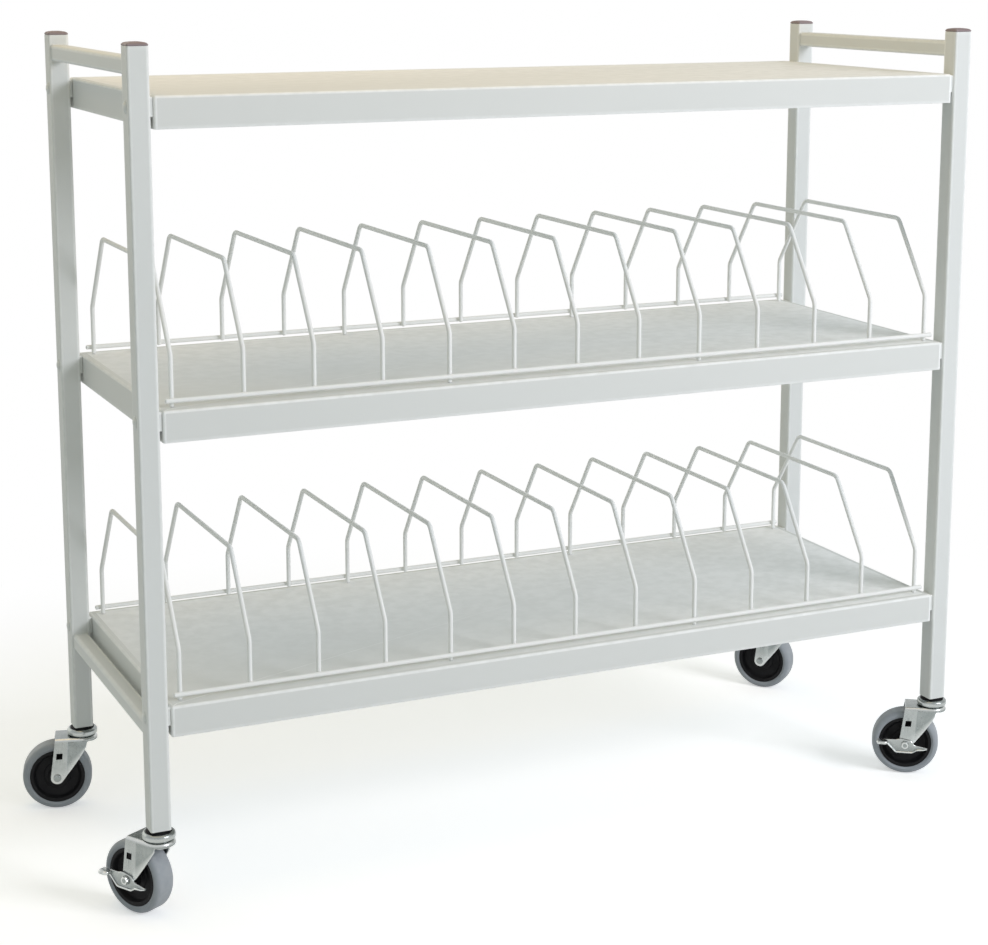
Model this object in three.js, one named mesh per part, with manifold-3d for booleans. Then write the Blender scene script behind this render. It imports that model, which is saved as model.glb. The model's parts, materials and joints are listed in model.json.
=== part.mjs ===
// Two-tier mobile chart rack: two welded end frames of square tube, three folded steel shelves,
// a welded wire divider rack on each of the two lower shelves, and four swivel casters,
// the two at the front with foot brakes. Millimetres, +X along the length, +Y to the back, +Z up.
import * as THREE from 'three';
import { mergeVertices } from 'three/addons/utils/BufferGeometryUtils.js';
import Module from 'manifold-3d';

const wasm = await Module();
wasm.setup();

// Clearances
const CORNER_SEGMENTS = 1; // a rounded corner of a tube or a sheet has twice as many facets
const SEAT_GAP = 0.3; // between two pieces that rest on each other or fit together
const WELD_SINK = 0.6; // how far two wires sink into each other at a weld
const CUTTER_REACH = 100; // length of a cutter that passes right through a piece
const SMALLEST_CORNER = 0.5; // the least radius that an inner corner keeps
const MERGE_DISTANCE = 1e-4; // points closer than this are one point of a solid

// Square tube of the end frames
const FRAME_LENGTH = 1245; // over the posts, left to right
const FRAME_DEPTH = 445; // over the posts, front to back
const POST_SIZE = 28;
const POST_CORNER = 3;
const TUBE_WALL = 1.5;
const POST_RISE = 60; // tube top above the top shelf
const LEG_LENGTH = 167.2; // tube bottom below the bottom shelf's surface
const HANDLE_SIZE = 22.2;
const HANDLE_CORNER = 4;
const HANDLE_RISE = 46.5; // handle's upper face above the top shelf
const RAIL_SIZE = 22.2;
const RAIL_CORNER = 4;
const RAIL_DROP = 23.5; // end rail's upper face below the bottom shelf's surface

// Folded sheet shelves
const UPPER_BAY = 393; // top shelf's surface above the middle shelf's
const LOWER_BAY = 388; // middle shelf's surface above the bottom shelf's
const SHELF_FLANGE = 41.5;
const SHELF_SHEET = 1.5;
const SHELF_BEND = 4; // outer radius of the folded top edge
const SHELF_BEND_STEPS = 2;
const SHELF_CORNER = 3;
const PAD_THICKNESS = 4; // welded pad between a post and a shelf's end flange
const PAD_HEIGHT = 25;
const PAD_WIDTH = 21.6;
const PAD_DROP = 1.5; // pad's upper edge below the shelf's surface

// Plastic caps in the tops of the posts
const CAP_EDGE = 2.2; // upright edge of the head
const CAP_SHOULDER = 1.75; // the head's rounded shoulder, across and up
const CAP_DOME = 1.1; // low dome above the shoulder
const CAP_CROWN = 5.6; // flat crown in from the head's edge
const CAP_PLUG = 16;
const CAP_TAPER = 1.2;

// Wire divider racks
const SLOT_COUNT = 12;
const WIRE = 6.35;
const RACK_END = 17.5; // first hoop's centre in from the shelf's end
const HOOP_SETBACK = 22.5; // hoop's leg in from the shelf's front and back edges
const HOOP_HEIGHT = 174.5; // top wire's centre above the shelf
const LEG_HEIGHT = 68; // upright leg's top bend above the shelf
const HOOP_SLANT = 73; // how far the sloping wire leans in
const BEND_RADIUS = 14;
const BEND_STEPS = 2;
const WIRE_SIDES = 8;
const ROD_HEIGHT = 9.2; // rod's centre above the shelf
const ROD_OVERHANG = 10; // rod's end past the end hoop's centre
const FOOT_SPACING = 4; // hoops from one that stands on the shelf with feet to the next

// Swivel casters
const WHEEL_DIAMETER = 101.6;
const TREAD_WIDTH = 31.75;
const TREAD_SHOULDER = 8;
const TREAD_STEPS = 3;
const TYRE_DEPTH = 11;
const HUB_RIM_WIDTH = 29;
const HUB_RIM_DEPTH = 4;
const HUB_RIM_SLOPE = 4;
const HUB_WEB = 13;
const HUB_BOSS_RADIUS = 12;
const HUB_BOSS_FLARE = 5;
const HUB_BOSS_PROUD = 1.6; // boss's end past the tyre's side
const WHEEL_FACETS = 18;
const AXLE_RADIUS = 5;
const AXLE_HEAD_RADIUS = 6.2;
const AXLE_FACETS = 8;
const AXLE_HEAD = 4.5;
const CASTER_TRAIL = 38; // wheel's axle behind the swivel axis
const CROWN_CLEARANCE = 5.4; // tyre's top to the fork's crown
const SIDE_CLEARANCE = 1.2; // hub's boss to the fork's leg
const FORK_SHEET = 3;
const FORK_BEND = 5; // outer radius of the crown's drawn edge
const FORK_BEND_STEPS = 2;
const FORK_ROUND_STEPS = 4; // facets of each quarter of the crown's round front
const FORK_EDGE_STEPS = 3;
const FORK_LIP = 7; // depth of the crown's wall at the front
const FORK_KNEE_FRONT = 7; // knee of the leg's front edge ahead of the swivel axis
const FORK_KNEE_DROP = 15; // the same knee below the crown
const FORK_BACK_LEAN = 8; // leg's back edge leans in this far from the axle to the crown
const FORK_END_RADIUS = 9.5;
const FORK_WINDOW = 9;
const FORK_WINDOW_RISE = 33; // window's centre above the axle
const FORK_WINDOW_SHIFT = 4; // window's centre ahead of the axle
const LOWER_RACE = 1.4; // turning raceway between the crown and the fixed raceway
const LOWER_RACE_RADIUS = 17.5;
const UPPER_RACE = 9;
const RACEWAY_RADIUS = 22;
const RACE_EDGE = 2;
const COLLAR = 2.8;
const COLLAR_RADIUS = 14;
const STEM_LENGTH = 42;
const RACE_FACETS = 14;

// Foot brake levers
const LEVER_SHEET = 2.5;
const LEVER_RIM = 6; // height of the tray's turned-out rim
const LEVER_FRONT = 34; // nose ahead of the axle
const LEVER_BACK = 42; // tip behind the axle
const LEVER_DEPTH = 12.5; // tray's lowest edge below the axle
const LEVER_BOSS = 9.5; // tray's upper edge above the axle
const LEVER_BOSS_FALL = 3; // how much lower that edge is ahead of the axle
const LEVER_TIP_RISE = 7; // tip's upper corner above the axle
const LEVER_TIP_HEIGHT = 3;
const LEVER_NOSE_DROP = 3.5; // nose's upper corner below the axle
const LEVER_NOSE_HEIGHT = 2;
const LEVER_NOSE_INSET = 5; // how far the hollow stops short of the nose and the tip
const LEVER_FULLNESS = 0.45; // how far along its half the tray's lower edge stays full
const LEVER_STEPS = 5;
const PEDAL_LENGTH = 17;
const PEDAL_REACH = 14;
const PEDAL_HEIGHT = 5;
const PEDAL_CORNER = 4;
const PEDAL_OVERHANG = 1; // pedal's end past the tip

// Each caster's place and the direction that its wheel trails in, in degrees from +X
const CASTERS = [
  { name: 'front_left', side: -1, row: -1, trail: 120, brake: true },
  { name: 'front_right', side: 1, row: -1, trail: 145, brake: true },
  { name: 'back_left', side: -1, row: 1, trail: 166, brake: false },
  { name: 'back_right', side: 1, row: 1, trail: 129, brake: false },
];

// Heights that follow from the sizes above
const WHEEL_RADIUS = WHEEL_DIAMETER / 2;
const CROWN_TOP = WHEEL_DIAMETER + CROWN_CLEARANCE + FORK_SHEET;
const LOWER_RACE_TOP = CROWN_TOP + LOWER_RACE;
const UPPER_RACE_TOP = LOWER_RACE_TOP + SEAT_GAP + UPPER_RACE;
const POST_BOTTOM = UPPER_RACE_TOP + COLLAR + SEAT_GAP;
const BOTTOM_SHELF = POST_BOTTOM + LEG_LENGTH;
const MIDDLE_SHELF = BOTTOM_SHELF + LOWER_BAY;
const TOP_SHELF = MIDDLE_SHELF + UPPER_BAY;
const POST_TOP = TOP_SHELF + POST_RISE;
const SHELF_HEIGHTS = { top: TOP_SHELF, middle: MIDDLE_SHELF, bottom: BOTTOM_SHELF };

// Plan sizes that follow from the sizes above
const POST_X = (FRAME_LENGTH - POST_SIZE) / 2;
const POST_Y = (FRAME_DEPTH - POST_SIZE) / 2;
const TUBE_BORE = POST_SIZE - 2 * TUBE_WALL;
const PLUG_SIZE = TUBE_BORE - 2 * SEAT_GAP;
const PLUG_CORNER = Math.max(POST_CORNER - TUBE_WALL, SMALLEST_CORNER);
const CROSS_LENGTH = FRAME_DEPTH - 2 * POST_SIZE - 2 * SEAT_GAP;
const SHELF_LENGTH = FRAME_LENGTH - 2 * (POST_SIZE + PAD_THICKNESS);
const SLOT_PITCH = (SHELF_LENGTH - 2 * RACK_END) / SLOT_COUNT;
const HOOP_REACH = FRAME_DEPTH / 2 - HOOP_SETBACK;
const ROD_REACH = HOOP_REACH + WIRE + SEAT_GAP;
const WELDED_REACH = ROD_REACH - WIRE + WELD_SINK;
const HUB_RADIUS = WHEEL_RADIUS - TYRE_DEPTH;
const BOSS_HALF = TREAD_WIDTH / 2 + HUB_BOSS_PROUD;
const FORK_INNER = BOSS_HALF + SIDE_CLEARANCE;
const FORK_OUTER = FORK_INNER + FORK_SHEET;
const AXLE_BORE = (AXLE_RADIUS + SEAT_GAP) / Math.cos(Math.PI / AXLE_FACETS);

// Finishes
const PAINT = { color: 0xd6d8d3, roughness: 0.45, metalness: 0.0 };
const WIRE_PAINT = { color: 0xe2e5e2, roughness: 0.4, metalness: 0.0 };
const CAP_PLASTIC = { color: 0x6d5a5c, roughness: 0.6, metalness: 0.0 };
const ZINC = { color: 0xaeb2b3, roughness: 0.35, metalness: 0.9 };
const HUB_PLASTIC = { color: 0x17181a, roughness: 0.55, metalness: 0.0 };
const TYRE_RUBBER = { color: 0x85888f, roughness: 0.7, metalness: 0.0 };

/** Adds a named piece with its own material to a group. */
function addPiece(group, name, geometry, finish) {
  const piece = new THREE.Mesh(geometry, new THREE.MeshStandardMaterial(finish));
  piece.name = name;
  group.add(piece);
  return piece;
}

/** Turns a closed geometry into a solid that can be joined and cut. */
function toSolid(geometry) {
  const bare = geometry.index ? geometry.toNonIndexed() : geometry.clone();
  bare.deleteAttribute('normal');
  bare.deleteAttribute('uv');
  const merged = mergeVertices(bare, MERGE_DISTANCE);
  return new wasm.Manifold(new wasm.Mesh({
    numProp: 3,
    vertProperties: new Float32Array(merged.attributes.position.array),
    triVerts: new Uint32Array(merged.index.array),
  }));
}

/** Turns a joined or cut solid back into a geometry. */
function toGeometry(solid) {
  const { vertProperties, triVerts } = solid.getMesh();
  const geometry = new THREE.BufferGeometry();
  geometry.setAttribute('position', new THREE.BufferAttribute(vertProperties, 3));
  geometry.setIndex(new THREE.BufferAttribute(triVerts, 1));
  geometry.computeVertexNormals();
  return geometry;
}

/** Closed rectangle with rounded corners, centred on the origin. */
function roundedRectangle(width, height, corner, Outline = THREE.Shape) {
  const x = width / 2 - corner;
  const y = height / 2 - corner;
  const outline = new Outline();
  outline.moveTo(-x, -y - corner);
  outline.lineTo(x, -y - corner);
  outline.absarc(x, -y, corner, -Math.PI / 2, 0);
  outline.absarc(x, y, corner, 0, Math.PI / 2);
  outline.absarc(-x, y, corner, Math.PI / 2, Math.PI);
  outline.absarc(-x, -y, corner, Math.PI, 1.5 * Math.PI);
  return outline;
}

/** Square tube along +Z from the origin, open at both ends. */
function squareTube(size, corner, length) {
  const section = roundedRectangle(size, size, corner);
  const bore = size - 2 * TUBE_WALL;
  const innerCorner = Math.max(corner - TUBE_WALL, SMALLEST_CORNER);
  section.holes.push(roundedRectangle(bore, bore, innerCorner, THREE.Path));
  const options = { depth: length, bevelEnabled: false, curveSegments: CORNER_SEGMENTS };
  return new THREE.ExtrudeGeometry(section, options);
}

/** Square tube along Y, centred on the origin. */
function crossTube(size, corner) {
  const tube = squareTube(size, corner, CROSS_LENGTH);
  tube.translate(0, 0, -CROSS_LENGTH / 2);
  return tube.rotateX(Math.PI / 2);
}

/** Rounded rectangular ring of points at height z. */
function ring(width, depth, corner, z) {
  const points = roundedRectangle(width, depth, corner).extractPoints(CORNER_SEGMENTS).shape;
  return points.map((point) => new THREE.Vector3(point.x, point.y, z));
}

/** Closed skin over a stack of equal rings, with a flat cap on the first and the last. */
function ringStack(rings) {
  const count = rings[0].length;
  const positions = rings.flat().flatMap((point) => point.toArray());
  const index = [];
  for (let level = 0; level < rings.length - 1; level += 1) {
    for (let i = 0; i < count; i += 1) {
      const a = level * count + i;
      const b = level * count + ((i + 1) % count);
      index.push(a, b, b + count, a, b + count, a + count);
    }
  }
  const last = (rings.length - 1) * count;
  const flat = (points) => points.map((point) => new THREE.Vector2(point.x, point.y));
  for (const [a, b, c] of THREE.ShapeUtils.triangulateShape(flat(rings[0]), [])) {
    index.push(c, b, a);
  }
  for (const [a, b, c] of THREE.ShapeUtils.triangulateShape(flat(rings.at(-1)), [])) {
    index.push(last + a, last + b, last + c);
  }
  const geometry = new THREE.BufferGeometry();
  geometry.setAttribute('position', new THREE.Float32BufferAttribute(positions, 3));
  geometry.setIndex(index);
  geometry.computeVertexNormals();
  return geometry;
}

/** Outline drawn in X and Z, carried along Y and centred on it. */
function sidePlate(outline, thickness, curveSegments) {
  const options = { depth: thickness, bevelEnabled: false, curveSegments };
  const plate = new THREE.ExtrudeGeometry(outline, options);
  plate.translate(0, 0, -thickness / 2);
  return plate.rotateX(Math.PI / 2);
}

/** Post with the welded pads that the three shelves bolt to; inward is the way the pads face. */
function post(inward) {
  const tube = squareTube(POST_SIZE, POST_CORNER, POST_TOP - POST_BOTTOM);
  tube.translate(0, 0, POST_BOTTOM);
  let solid = toSolid(tube);
  const sunk = TUBE_WALL / 2;
  const reach = PAD_THICKNESS - SEAT_GAP + sunk;
  for (const height of Object.values(SHELF_HEIGHTS)) {
    const pad = new THREE.BoxGeometry(reach, PAD_WIDTH, PAD_HEIGHT);
    const x = inward * (POST_SIZE / 2 - sunk + reach / 2);
    pad.translate(x, 0, height - PAD_DROP - PAD_HEIGHT / 2);
    solid = solid.add(toSolid(pad));
  }
  return toGeometry(solid);
}

/** Plastic cap: a plug inside the tube under a head with a low dome. */
function postCap() {
  const seat = POST_TOP + SEAT_GAP;
  const square = (inset, z) => ring(POST_SIZE - 2 * inset, POST_SIZE - 2 * inset, POST_CORNER, z);
  const plug = (inset, z) => ring(PLUG_SIZE - 2 * inset, PLUG_SIZE - 2 * inset, PLUG_CORNER, z);
  return ringStack([
    plug(CAP_TAPER, POST_TOP - CAP_PLUG),
    plug(0, POST_TOP - CAP_PLUG / 2),
    plug(0, seat),
    square(0, seat),
    square(0, seat + CAP_EDGE),
    square(CAP_SHOULDER, seat + CAP_EDGE + CAP_SHOULDER),
    square(CAP_CROWN, seat + CAP_EDGE + CAP_SHOULDER + CAP_DOME),
  ]);
}

/** Shelf folded from one sheet: a flat top with a rounded edge and a flange down every side. */
function shelf() {
  const level = (inset, z) => {
    const corner = Math.max(SHELF_CORNER - inset, SMALLEST_CORNER);
    return ring(SHELF_LENGTH - 2 * inset, FRAME_DEPTH - 2 * inset, corner, z);
  };
  const bend = (radius, start) => Array.from({ length: SHELF_BEND_STEPS + 1 }, (_, step) => {
    const angle = ((step / SHELF_BEND_STEPS) * Math.PI) / 2;
    return level(start + radius * (1 - Math.cos(angle)), radius * Math.sin(angle) - SHELF_BEND);
  });
  const underside = bend(SHELF_BEND - SHELF_SHEET, SHELF_SHEET).reverse();
  const flangeEdge = [level(SHELF_SHEET, -SHELF_FLANGE), level(0, -SHELF_FLANGE)];
  return ringStack([...underside, ...flangeEdge, ...bend(SHELF_BEND, 0)]);
}

/** Wire's centre line through a list of stations, one section on each station. */
class WireLine extends THREE.Curve {
  constructor(stations) {
    super();
    this.stations = stations;
  }

  get steps() {
    return this.stations.length - 1;
  }

  getUtoTmapping(u) {
    return u;
  }

  getPoint(t, target = new THREE.Vector3()) {
    return target.copy(this.stations[Math.round(t * this.steps)]);
  }

  getTangent(t, target = new THREE.Vector3()) {
    const here = Math.round(t * this.steps);
    const legs = [[here - 1, here], [here, here + 1]];
    target.set(0, 0, 0);
    for (const [from, to] of legs) {
      if (from >= 0 && to <= this.steps) {
        target.add(this.stations[to].clone().sub(this.stations[from]).normalize());
      }
    }
    return target.normalize();
  }
}

/** Stations of a wire bent with one radius at each inner corner of a route. */
function bentStations(route) {
  const stations = [route[0]];
  for (let i = 1; i < route.length - 1; i += 1) {
    const corner = route[i];
    const back = route[i - 1].clone().sub(corner).normalize();
    const ahead = route[i + 1].clone().sub(corner).normalize();
    const half = back.angleTo(ahead) / 2;
    const inward = back.clone().add(ahead).normalize();
    const centre = corner.clone().addScaledVector(inward, BEND_RADIUS / Math.sin(half));
    const start = corner.clone().addScaledVector(back, BEND_RADIUS / Math.tan(half)).sub(centre);
    const axis = new THREE.Vector3().crossVectors(back, ahead).normalize();
    const turn = Math.PI - 2 * half;
    for (let step = 0; step <= BEND_STEPS; step += 1) {
      const swing = start.clone().applyAxisAngle(axis, (-turn * step) / BEND_STEPS);
      stations.push(swing.add(centre));
    }
  }
  stations.push(route.at(-1));
  return stations;
}

/** Round wire along a list of stations. */
function wire(stations) {
  const section = new THREE.Shape();
  section.absarc(0, 0, WIRE / 2, 0, 2 * Math.PI);
  const line = new WireLine(stations);
  const options = { steps: line.steps, extrudePath: line, curveSegments: WIRE_SIDES / 2 };
  return new THREE.ExtrudeGeometry(section, { ...options, bevelEnabled: false });
}

/** Hoop across the shelf: upright legs, sloping shoulders and a level top wire. */
function hoop(reach, foot) {
  const shoulder = reach - HOOP_SLANT;
  return wire(bentStations([
    new THREE.Vector3(0, -reach, foot),
    new THREE.Vector3(0, -reach, LEG_HEIGHT),
    new THREE.Vector3(0, -shoulder, HOOP_HEIGHT),
    new THREE.Vector3(0, shoulder, HOOP_HEIGHT),
    new THREE.Vector3(0, reach, LEG_HEIGHT),
    new THREE.Vector3(0, reach, foot),
  ]));
}

/** Place of a hoop along the shelf, counted from the left. */
function hoopX(number) {
  return (number - SLOT_COUNT / 2) * SLOT_PITCH;
}

/** Whether a hoop stands on the shelf: the nearest one to each multiple of the foot spacing. */
function hasFeet(number) {
  const nearest = Math.round(number / FOOT_SPACING) * FOOT_SPACING;
  return Math.round(nearest) === number;
}

/** Two long rods welded to the hoops that stand on the shelf. */
function rackCarrier() {
  const end = (SLOT_COUNT / 2) * SLOT_PITCH + ROD_OVERHANG;
  const rod = (y) => toSolid(wire([
    new THREE.Vector3(-end, y, ROD_HEIGHT),
    new THREE.Vector3(end, y, ROD_HEIGHT),
  ]));
  let solid = rod(-ROD_REACH).add(rod(ROD_REACH));
  for (let number = 0; number <= SLOT_COUNT; number += 1) {
    if (hasFeet(number)) {
      const footed = hoop(WELDED_REACH, SEAT_GAP);
      footed.translate(hoopX(number), 0, 0);
      solid = solid.add(toSolid(footed));
    }
  }
  return toGeometry(solid);
}

/** Wire divider rack of one tier, standing on the shelf at the given height. */
function dividerRack(tier, height) {
  const rack = new THREE.Group();
  rack.position.z = height;
  addPiece(rack, `${tier}_rack_carrier`, rackCarrier(), WIRE_PAINT);
  for (let number = 0; number <= SLOT_COUNT; number += 1) {
    if (!hasFeet(number)) {
      const name = `${tier}_divider_${String(number + 1).padStart(2, '0')}`;
      const divider = addPiece(rack, name, hoop(HOOP_REACH, ROD_HEIGHT - WIRE / 2), WIRE_PAINT);
      divider.position.x = hoopX(number);
    }
  }
  return rack;
}

/** Closed profile of radius and height pairs turned about Z. */
function turned(profile, facets) {
  const points = profile.map(([radius, z]) => new THREE.Vector2(radius, z));
  return new THREE.LatheGeometry(points, facets).rotateX(Math.PI / 2);
}

/** Fixed upper raceway of a caster, with its collar and the square stem inside the post. */
function stemHousing() {
  const radius = RACEWAY_RADIUS;
  const bottom = LOWER_RACE_TOP + SEAT_GAP;
  const top = POST_BOTTOM - SEAT_GAP;
  const body = turned([
    [0, bottom],
    [radius - RACE_EDGE, bottom],
    [radius, bottom + RACE_EDGE],
    [radius, UPPER_RACE_TOP - RACE_EDGE],
    [radius - RACE_EDGE, UPPER_RACE_TOP],
    [COLLAR_RADIUS, UPPER_RACE_TOP],
    [COLLAR_RADIUS, top],
    [0, top],
  ], RACE_FACETS);
  const sunk = SEAT_GAP;
  const section = roundedRectangle(PLUG_SIZE, PLUG_SIZE, PLUG_CORNER);
  const options = { depth: STEM_LENGTH + sunk, bevelEnabled: false, curveSegments: CORNER_SEGMENTS };
  const stem = new THREE.ExtrudeGeometry(section, options);
  stem.translate(0, 0, top - sunk);
  return toGeometry(toSolid(body).add(toSolid(stem)));
}

/** Side view of the fork: the crown's wall at the front, and the legs drawn in to a round end. */
function forkOutline() {
  const axle = WHEEL_RADIUS;
  const lip = CROWN_TOP - FORK_LIP;
  const knee = CROWN_TOP - FORK_KNEE_DROP;
  const back = CASTER_TRAIL + FORK_END_RADIUS;
  const reach = Math.hypot(FORK_KNEE_FRONT + CASTER_TRAIL, knee - axle);
  const towardsKnee = Math.atan2(knee - axle, -FORK_KNEE_FRONT - CASTER_TRAIL);
  const tangent = towardsKnee + Math.acos(FORK_END_RADIUS / reach);
  const outline = new THREE.Shape();
  outline.moveTo(-FORK_OUTER - SEAT_GAP, CROWN_TOP + SEAT_GAP);
  outline.lineTo(-FORK_OUTER - SEAT_GAP, lip);
  outline.lineTo(-FORK_OUTER + FORK_LIP, lip);
  outline.quadraticCurveTo(-FORK_KNEE_FRONT, lip, -FORK_KNEE_FRONT, knee);
  outline.absarc(CASTER_TRAIL, axle, FORK_END_RADIUS, tangent, 2 * Math.PI);
  outline.lineTo(back - FORK_BACK_LEAN, CROWN_TOP + SEAT_GAP);
  return outline;
}

/** Block with a round front about the swivel axis, straight sides and a rounded upper edge. */
function crownBlock(half, top, bend) {
  const back = CASTER_TRAIL + CUTTER_REACH;
  const plan = new THREE.Shape();
  plan.moveTo(back, half);
  plan.lineTo(0, half);
  plan.absarc(0, 0, half, Math.PI / 2, 1.5 * Math.PI);
  plan.lineTo(back, -half);
  const block = new THREE.ExtrudeGeometry(plan, {
    depth: top,
    bevelThickness: bend,
    bevelSize: bend,
    bevelOffset: -bend,
    bevelSegments: FORK_BEND_STEPS,
    curveSegments: FORK_ROUND_STEPS,
  });
  return toSolid(block.translate(0, 0, -bend));
}

/** Fork drawn from sheet: a crown with a round front, two swept legs with a window, and its raceway. */
function fork() {
  const axleHole = new THREE.CylinderGeometry(AXLE_BORE, AXLE_BORE, CUTTER_REACH, AXLE_FACETS);
  axleHole.translate(CASTER_TRAIL, 0, WHEEL_RADIUS);
  const window = new THREE.BoxGeometry(FORK_WINDOW, CUTTER_REACH, FORK_WINDOW);
  window.translate(CASTER_TRAIL - FORK_WINDOW_SHIFT, 0, WHEEL_RADIUS + FORK_WINDOW_RISE);
  const raceway = turned([
    [0, CROWN_TOP - FORK_SHEET / 2],
    [LOWER_RACE_RADIUS, CROWN_TOP - FORK_SHEET / 2],
    [LOWER_RACE_RADIUS, LOWER_RACE_TOP],
    [0, LOWER_RACE_TOP],
  ], RACE_FACETS);
  const solid = crownBlock(FORK_OUTER, CROWN_TOP, FORK_BEND)
    .subtract(crownBlock(FORK_INNER, CROWN_TOP - FORK_SHEET, FORK_BEND - FORK_SHEET))
    .intersect(toSolid(sidePlate(forkOutline(), CUTTER_REACH, FORK_EDGE_STEPS)))
    .add(toSolid(raceway))
    .subtract(toSolid(axleHole))
    .subtract(toSolid(window));
  return toGeometry(solid);
}

/** Axle bolt across the fork, from its head to its nut; extra is the room for a brake lever. */
function axle(extra) {
  const head = -FORK_OUTER - SEAT_GAP;
  const nut = FORK_OUTER + SEAT_GAP + extra;
  const profile = [
    [0, head - AXLE_HEAD],
    [AXLE_HEAD_RADIUS, head - AXLE_HEAD],
    [AXLE_HEAD_RADIUS, head],
    [AXLE_RADIUS, head],
    [AXLE_RADIUS, nut],
    [AXLE_HEAD_RADIUS, nut],
    [AXLE_HEAD_RADIUS, nut + AXLE_HEAD],
    [0, nut + AXLE_HEAD],
  ];
  return new THREE.LatheGeometry(profile.map(([radius, y]) => new THREE.Vector2(radius, y)), AXLE_FACETS);
}

/** Wheel centre: a long boss on the axle, a thin web and a wide rim. */
function hub() {
  const rim = HUB_RADIUS - SEAT_GAP;
  const bore = (AXLE_RADIUS + SEAT_GAP) / Math.cos(Math.PI / WHEEL_FACETS);
  const half = [
    [bore, BOSS_HALF],
    [HUB_BOSS_RADIUS, BOSS_HALF],
    [HUB_BOSS_RADIUS + HUB_BOSS_FLARE, HUB_WEB / 2],
    [rim - HUB_RIM_DEPTH - HUB_RIM_SLOPE, HUB_WEB / 2],
    [rim - HUB_RIM_DEPTH, HUB_RIM_WIDTH / 2],
    [rim, HUB_RIM_WIDTH / 2],
  ];
  return wheelRing(half);
}

/** Tyre with a rounded tread, open at the bore for the hub's rim. */
function tyre() {
  const crown = TREAD_WIDTH / 2 - TREAD_SHOULDER;
  const shoulders = Array.from({ length: TREAD_STEPS + 1 }, (_, step) => {
    const angle = ((step / TREAD_STEPS) * Math.PI) / 2;
    const radius = WHEEL_RADIUS - TREAD_SHOULDER * (1 - Math.sin(angle));
    return [radius, crown + TREAD_SHOULDER * Math.cos(angle)];
  });
  return wheelRing([[HUB_RADIUS, HUB_RIM_WIDTH / 2], ...shoulders]);
}

/** Ring turned about the axle from the outer half of its profile, mirrored across the wheel. */
function wheelRing(half) {
  const mirrored = half.map(([radius, y]) => [radius, -y]);
  const loop = [...mirrored, ...half.toReversed(), mirrored[0]];
  const points = loop.map(([radius, y]) => new THREE.Vector2(radius, y));
  const facet = Math.PI / WHEEL_FACETS;
  return new THREE.LatheGeometry(points, WHEEL_FACETS, facet);
}

/** Side view of the brake's tray about the axle, drawn in by inset and with its top lifted. */
function leverOutline(inset, lift) {
  const ends = inset > 0 ? LEVER_NOSE_INSET : 0;
  const nose = -LEVER_FRONT + ends;
  const tip = LEVER_BACK - ends;
  const low = -LEVER_DEPTH + inset;
  const outline = new THREE.Shape();
  outline.moveTo(tip, LEVER_TIP_RISE + lift);
  outline.lineTo(LEVER_BOSS, LEVER_BOSS + lift);
  outline.lineTo(-LEVER_BOSS, LEVER_BOSS - LEVER_BOSS_FALL + lift);
  outline.lineTo(nose, -LEVER_NOSE_DROP + lift);
  outline.lineTo(nose, -LEVER_NOSE_DROP - LEVER_NOSE_HEIGHT);
  outline.quadraticCurveTo(nose * LEVER_FULLNESS, low, 0, low);
  outline.quadraticCurveTo(tip * LEVER_FULLNESS, low, tip, LEVER_TIP_RISE - LEVER_TIP_HEIGHT);
  return outline;
}

/** Foot brake: a boat-shaped pressed tray round the axle with a pedal folded out at its tip. */
function brakeLever() {
  const plate = sidePlate(leverOutline(0, 0), LEVER_RIM, LEVER_STEPS);
  const hollow = sidePlate(leverOutline(LEVER_SHEET, LEVER_DEPTH), LEVER_RIM, LEVER_STEPS);
  hollow.translate(0, LEVER_SHEET, 0);
  const section = roundedRectangle(PEDAL_LENGTH, PEDAL_REACH, PEDAL_CORNER);
  const options = { depth: PEDAL_HEIGHT, bevelEnabled: false, curveSegments: CORNER_SEGMENTS };
  const pedal = new THREE.ExtrudeGeometry(section, options);
  const pedalX = LEVER_BACK + PEDAL_OVERHANG - PEDAL_LENGTH / 2;
  pedal.translate(pedalX, (PEDAL_REACH - LEVER_RIM) / 2, LEVER_TIP_RISE - PEDAL_HEIGHT);
  const bore = new THREE.CylinderGeometry(AXLE_BORE, AXLE_BORE, CUTTER_REACH, AXLE_FACETS);
  const tray = toSolid(plate).subtract(toSolid(hollow)).add(toSolid(pedal));
  return toGeometry(tray.subtract(toSolid(bore)));
}

/** One caster, trailing along its own +X, with its axle along its own Y. */
function caster({ name, side, row, trail, brake }) {
  const group = new THREE.Group();
  group.position.set(side * POST_X, row * POST_Y, 0);
  addPiece(group, `caster_${name}_stem_housing`, stemHousing(), ZINC);
  const swivel = new THREE.Group();
  swivel.rotation.z = THREE.MathUtils.degToRad(trail);
  group.add(swivel);
  addPiece(swivel, `caster_${name}_fork`, fork(), ZINC);
  const wheel = new THREE.Group();
  wheel.position.set(CASTER_TRAIL, 0, WHEEL_RADIUS);
  swivel.add(wheel);
  addPiece(wheel, `caster_${name}_axle`, axle(brake ? LEVER_SHEET + SEAT_GAP : 0), ZINC);
  addPiece(wheel, `caster_${name}_hub`, hub(), HUB_PLASTIC);
  addPiece(wheel, `caster_${name}_tyre`, tyre(), TYRE_RUBBER);
  if (brake) {
    const lever = addPiece(wheel, `caster_${name}_brake_lever`, brakeLever(), ZINC);
    lever.position.y = FORK_OUTER + SEAT_GAP + LEVER_RIM / 2;
  }
  return group;
}

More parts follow.
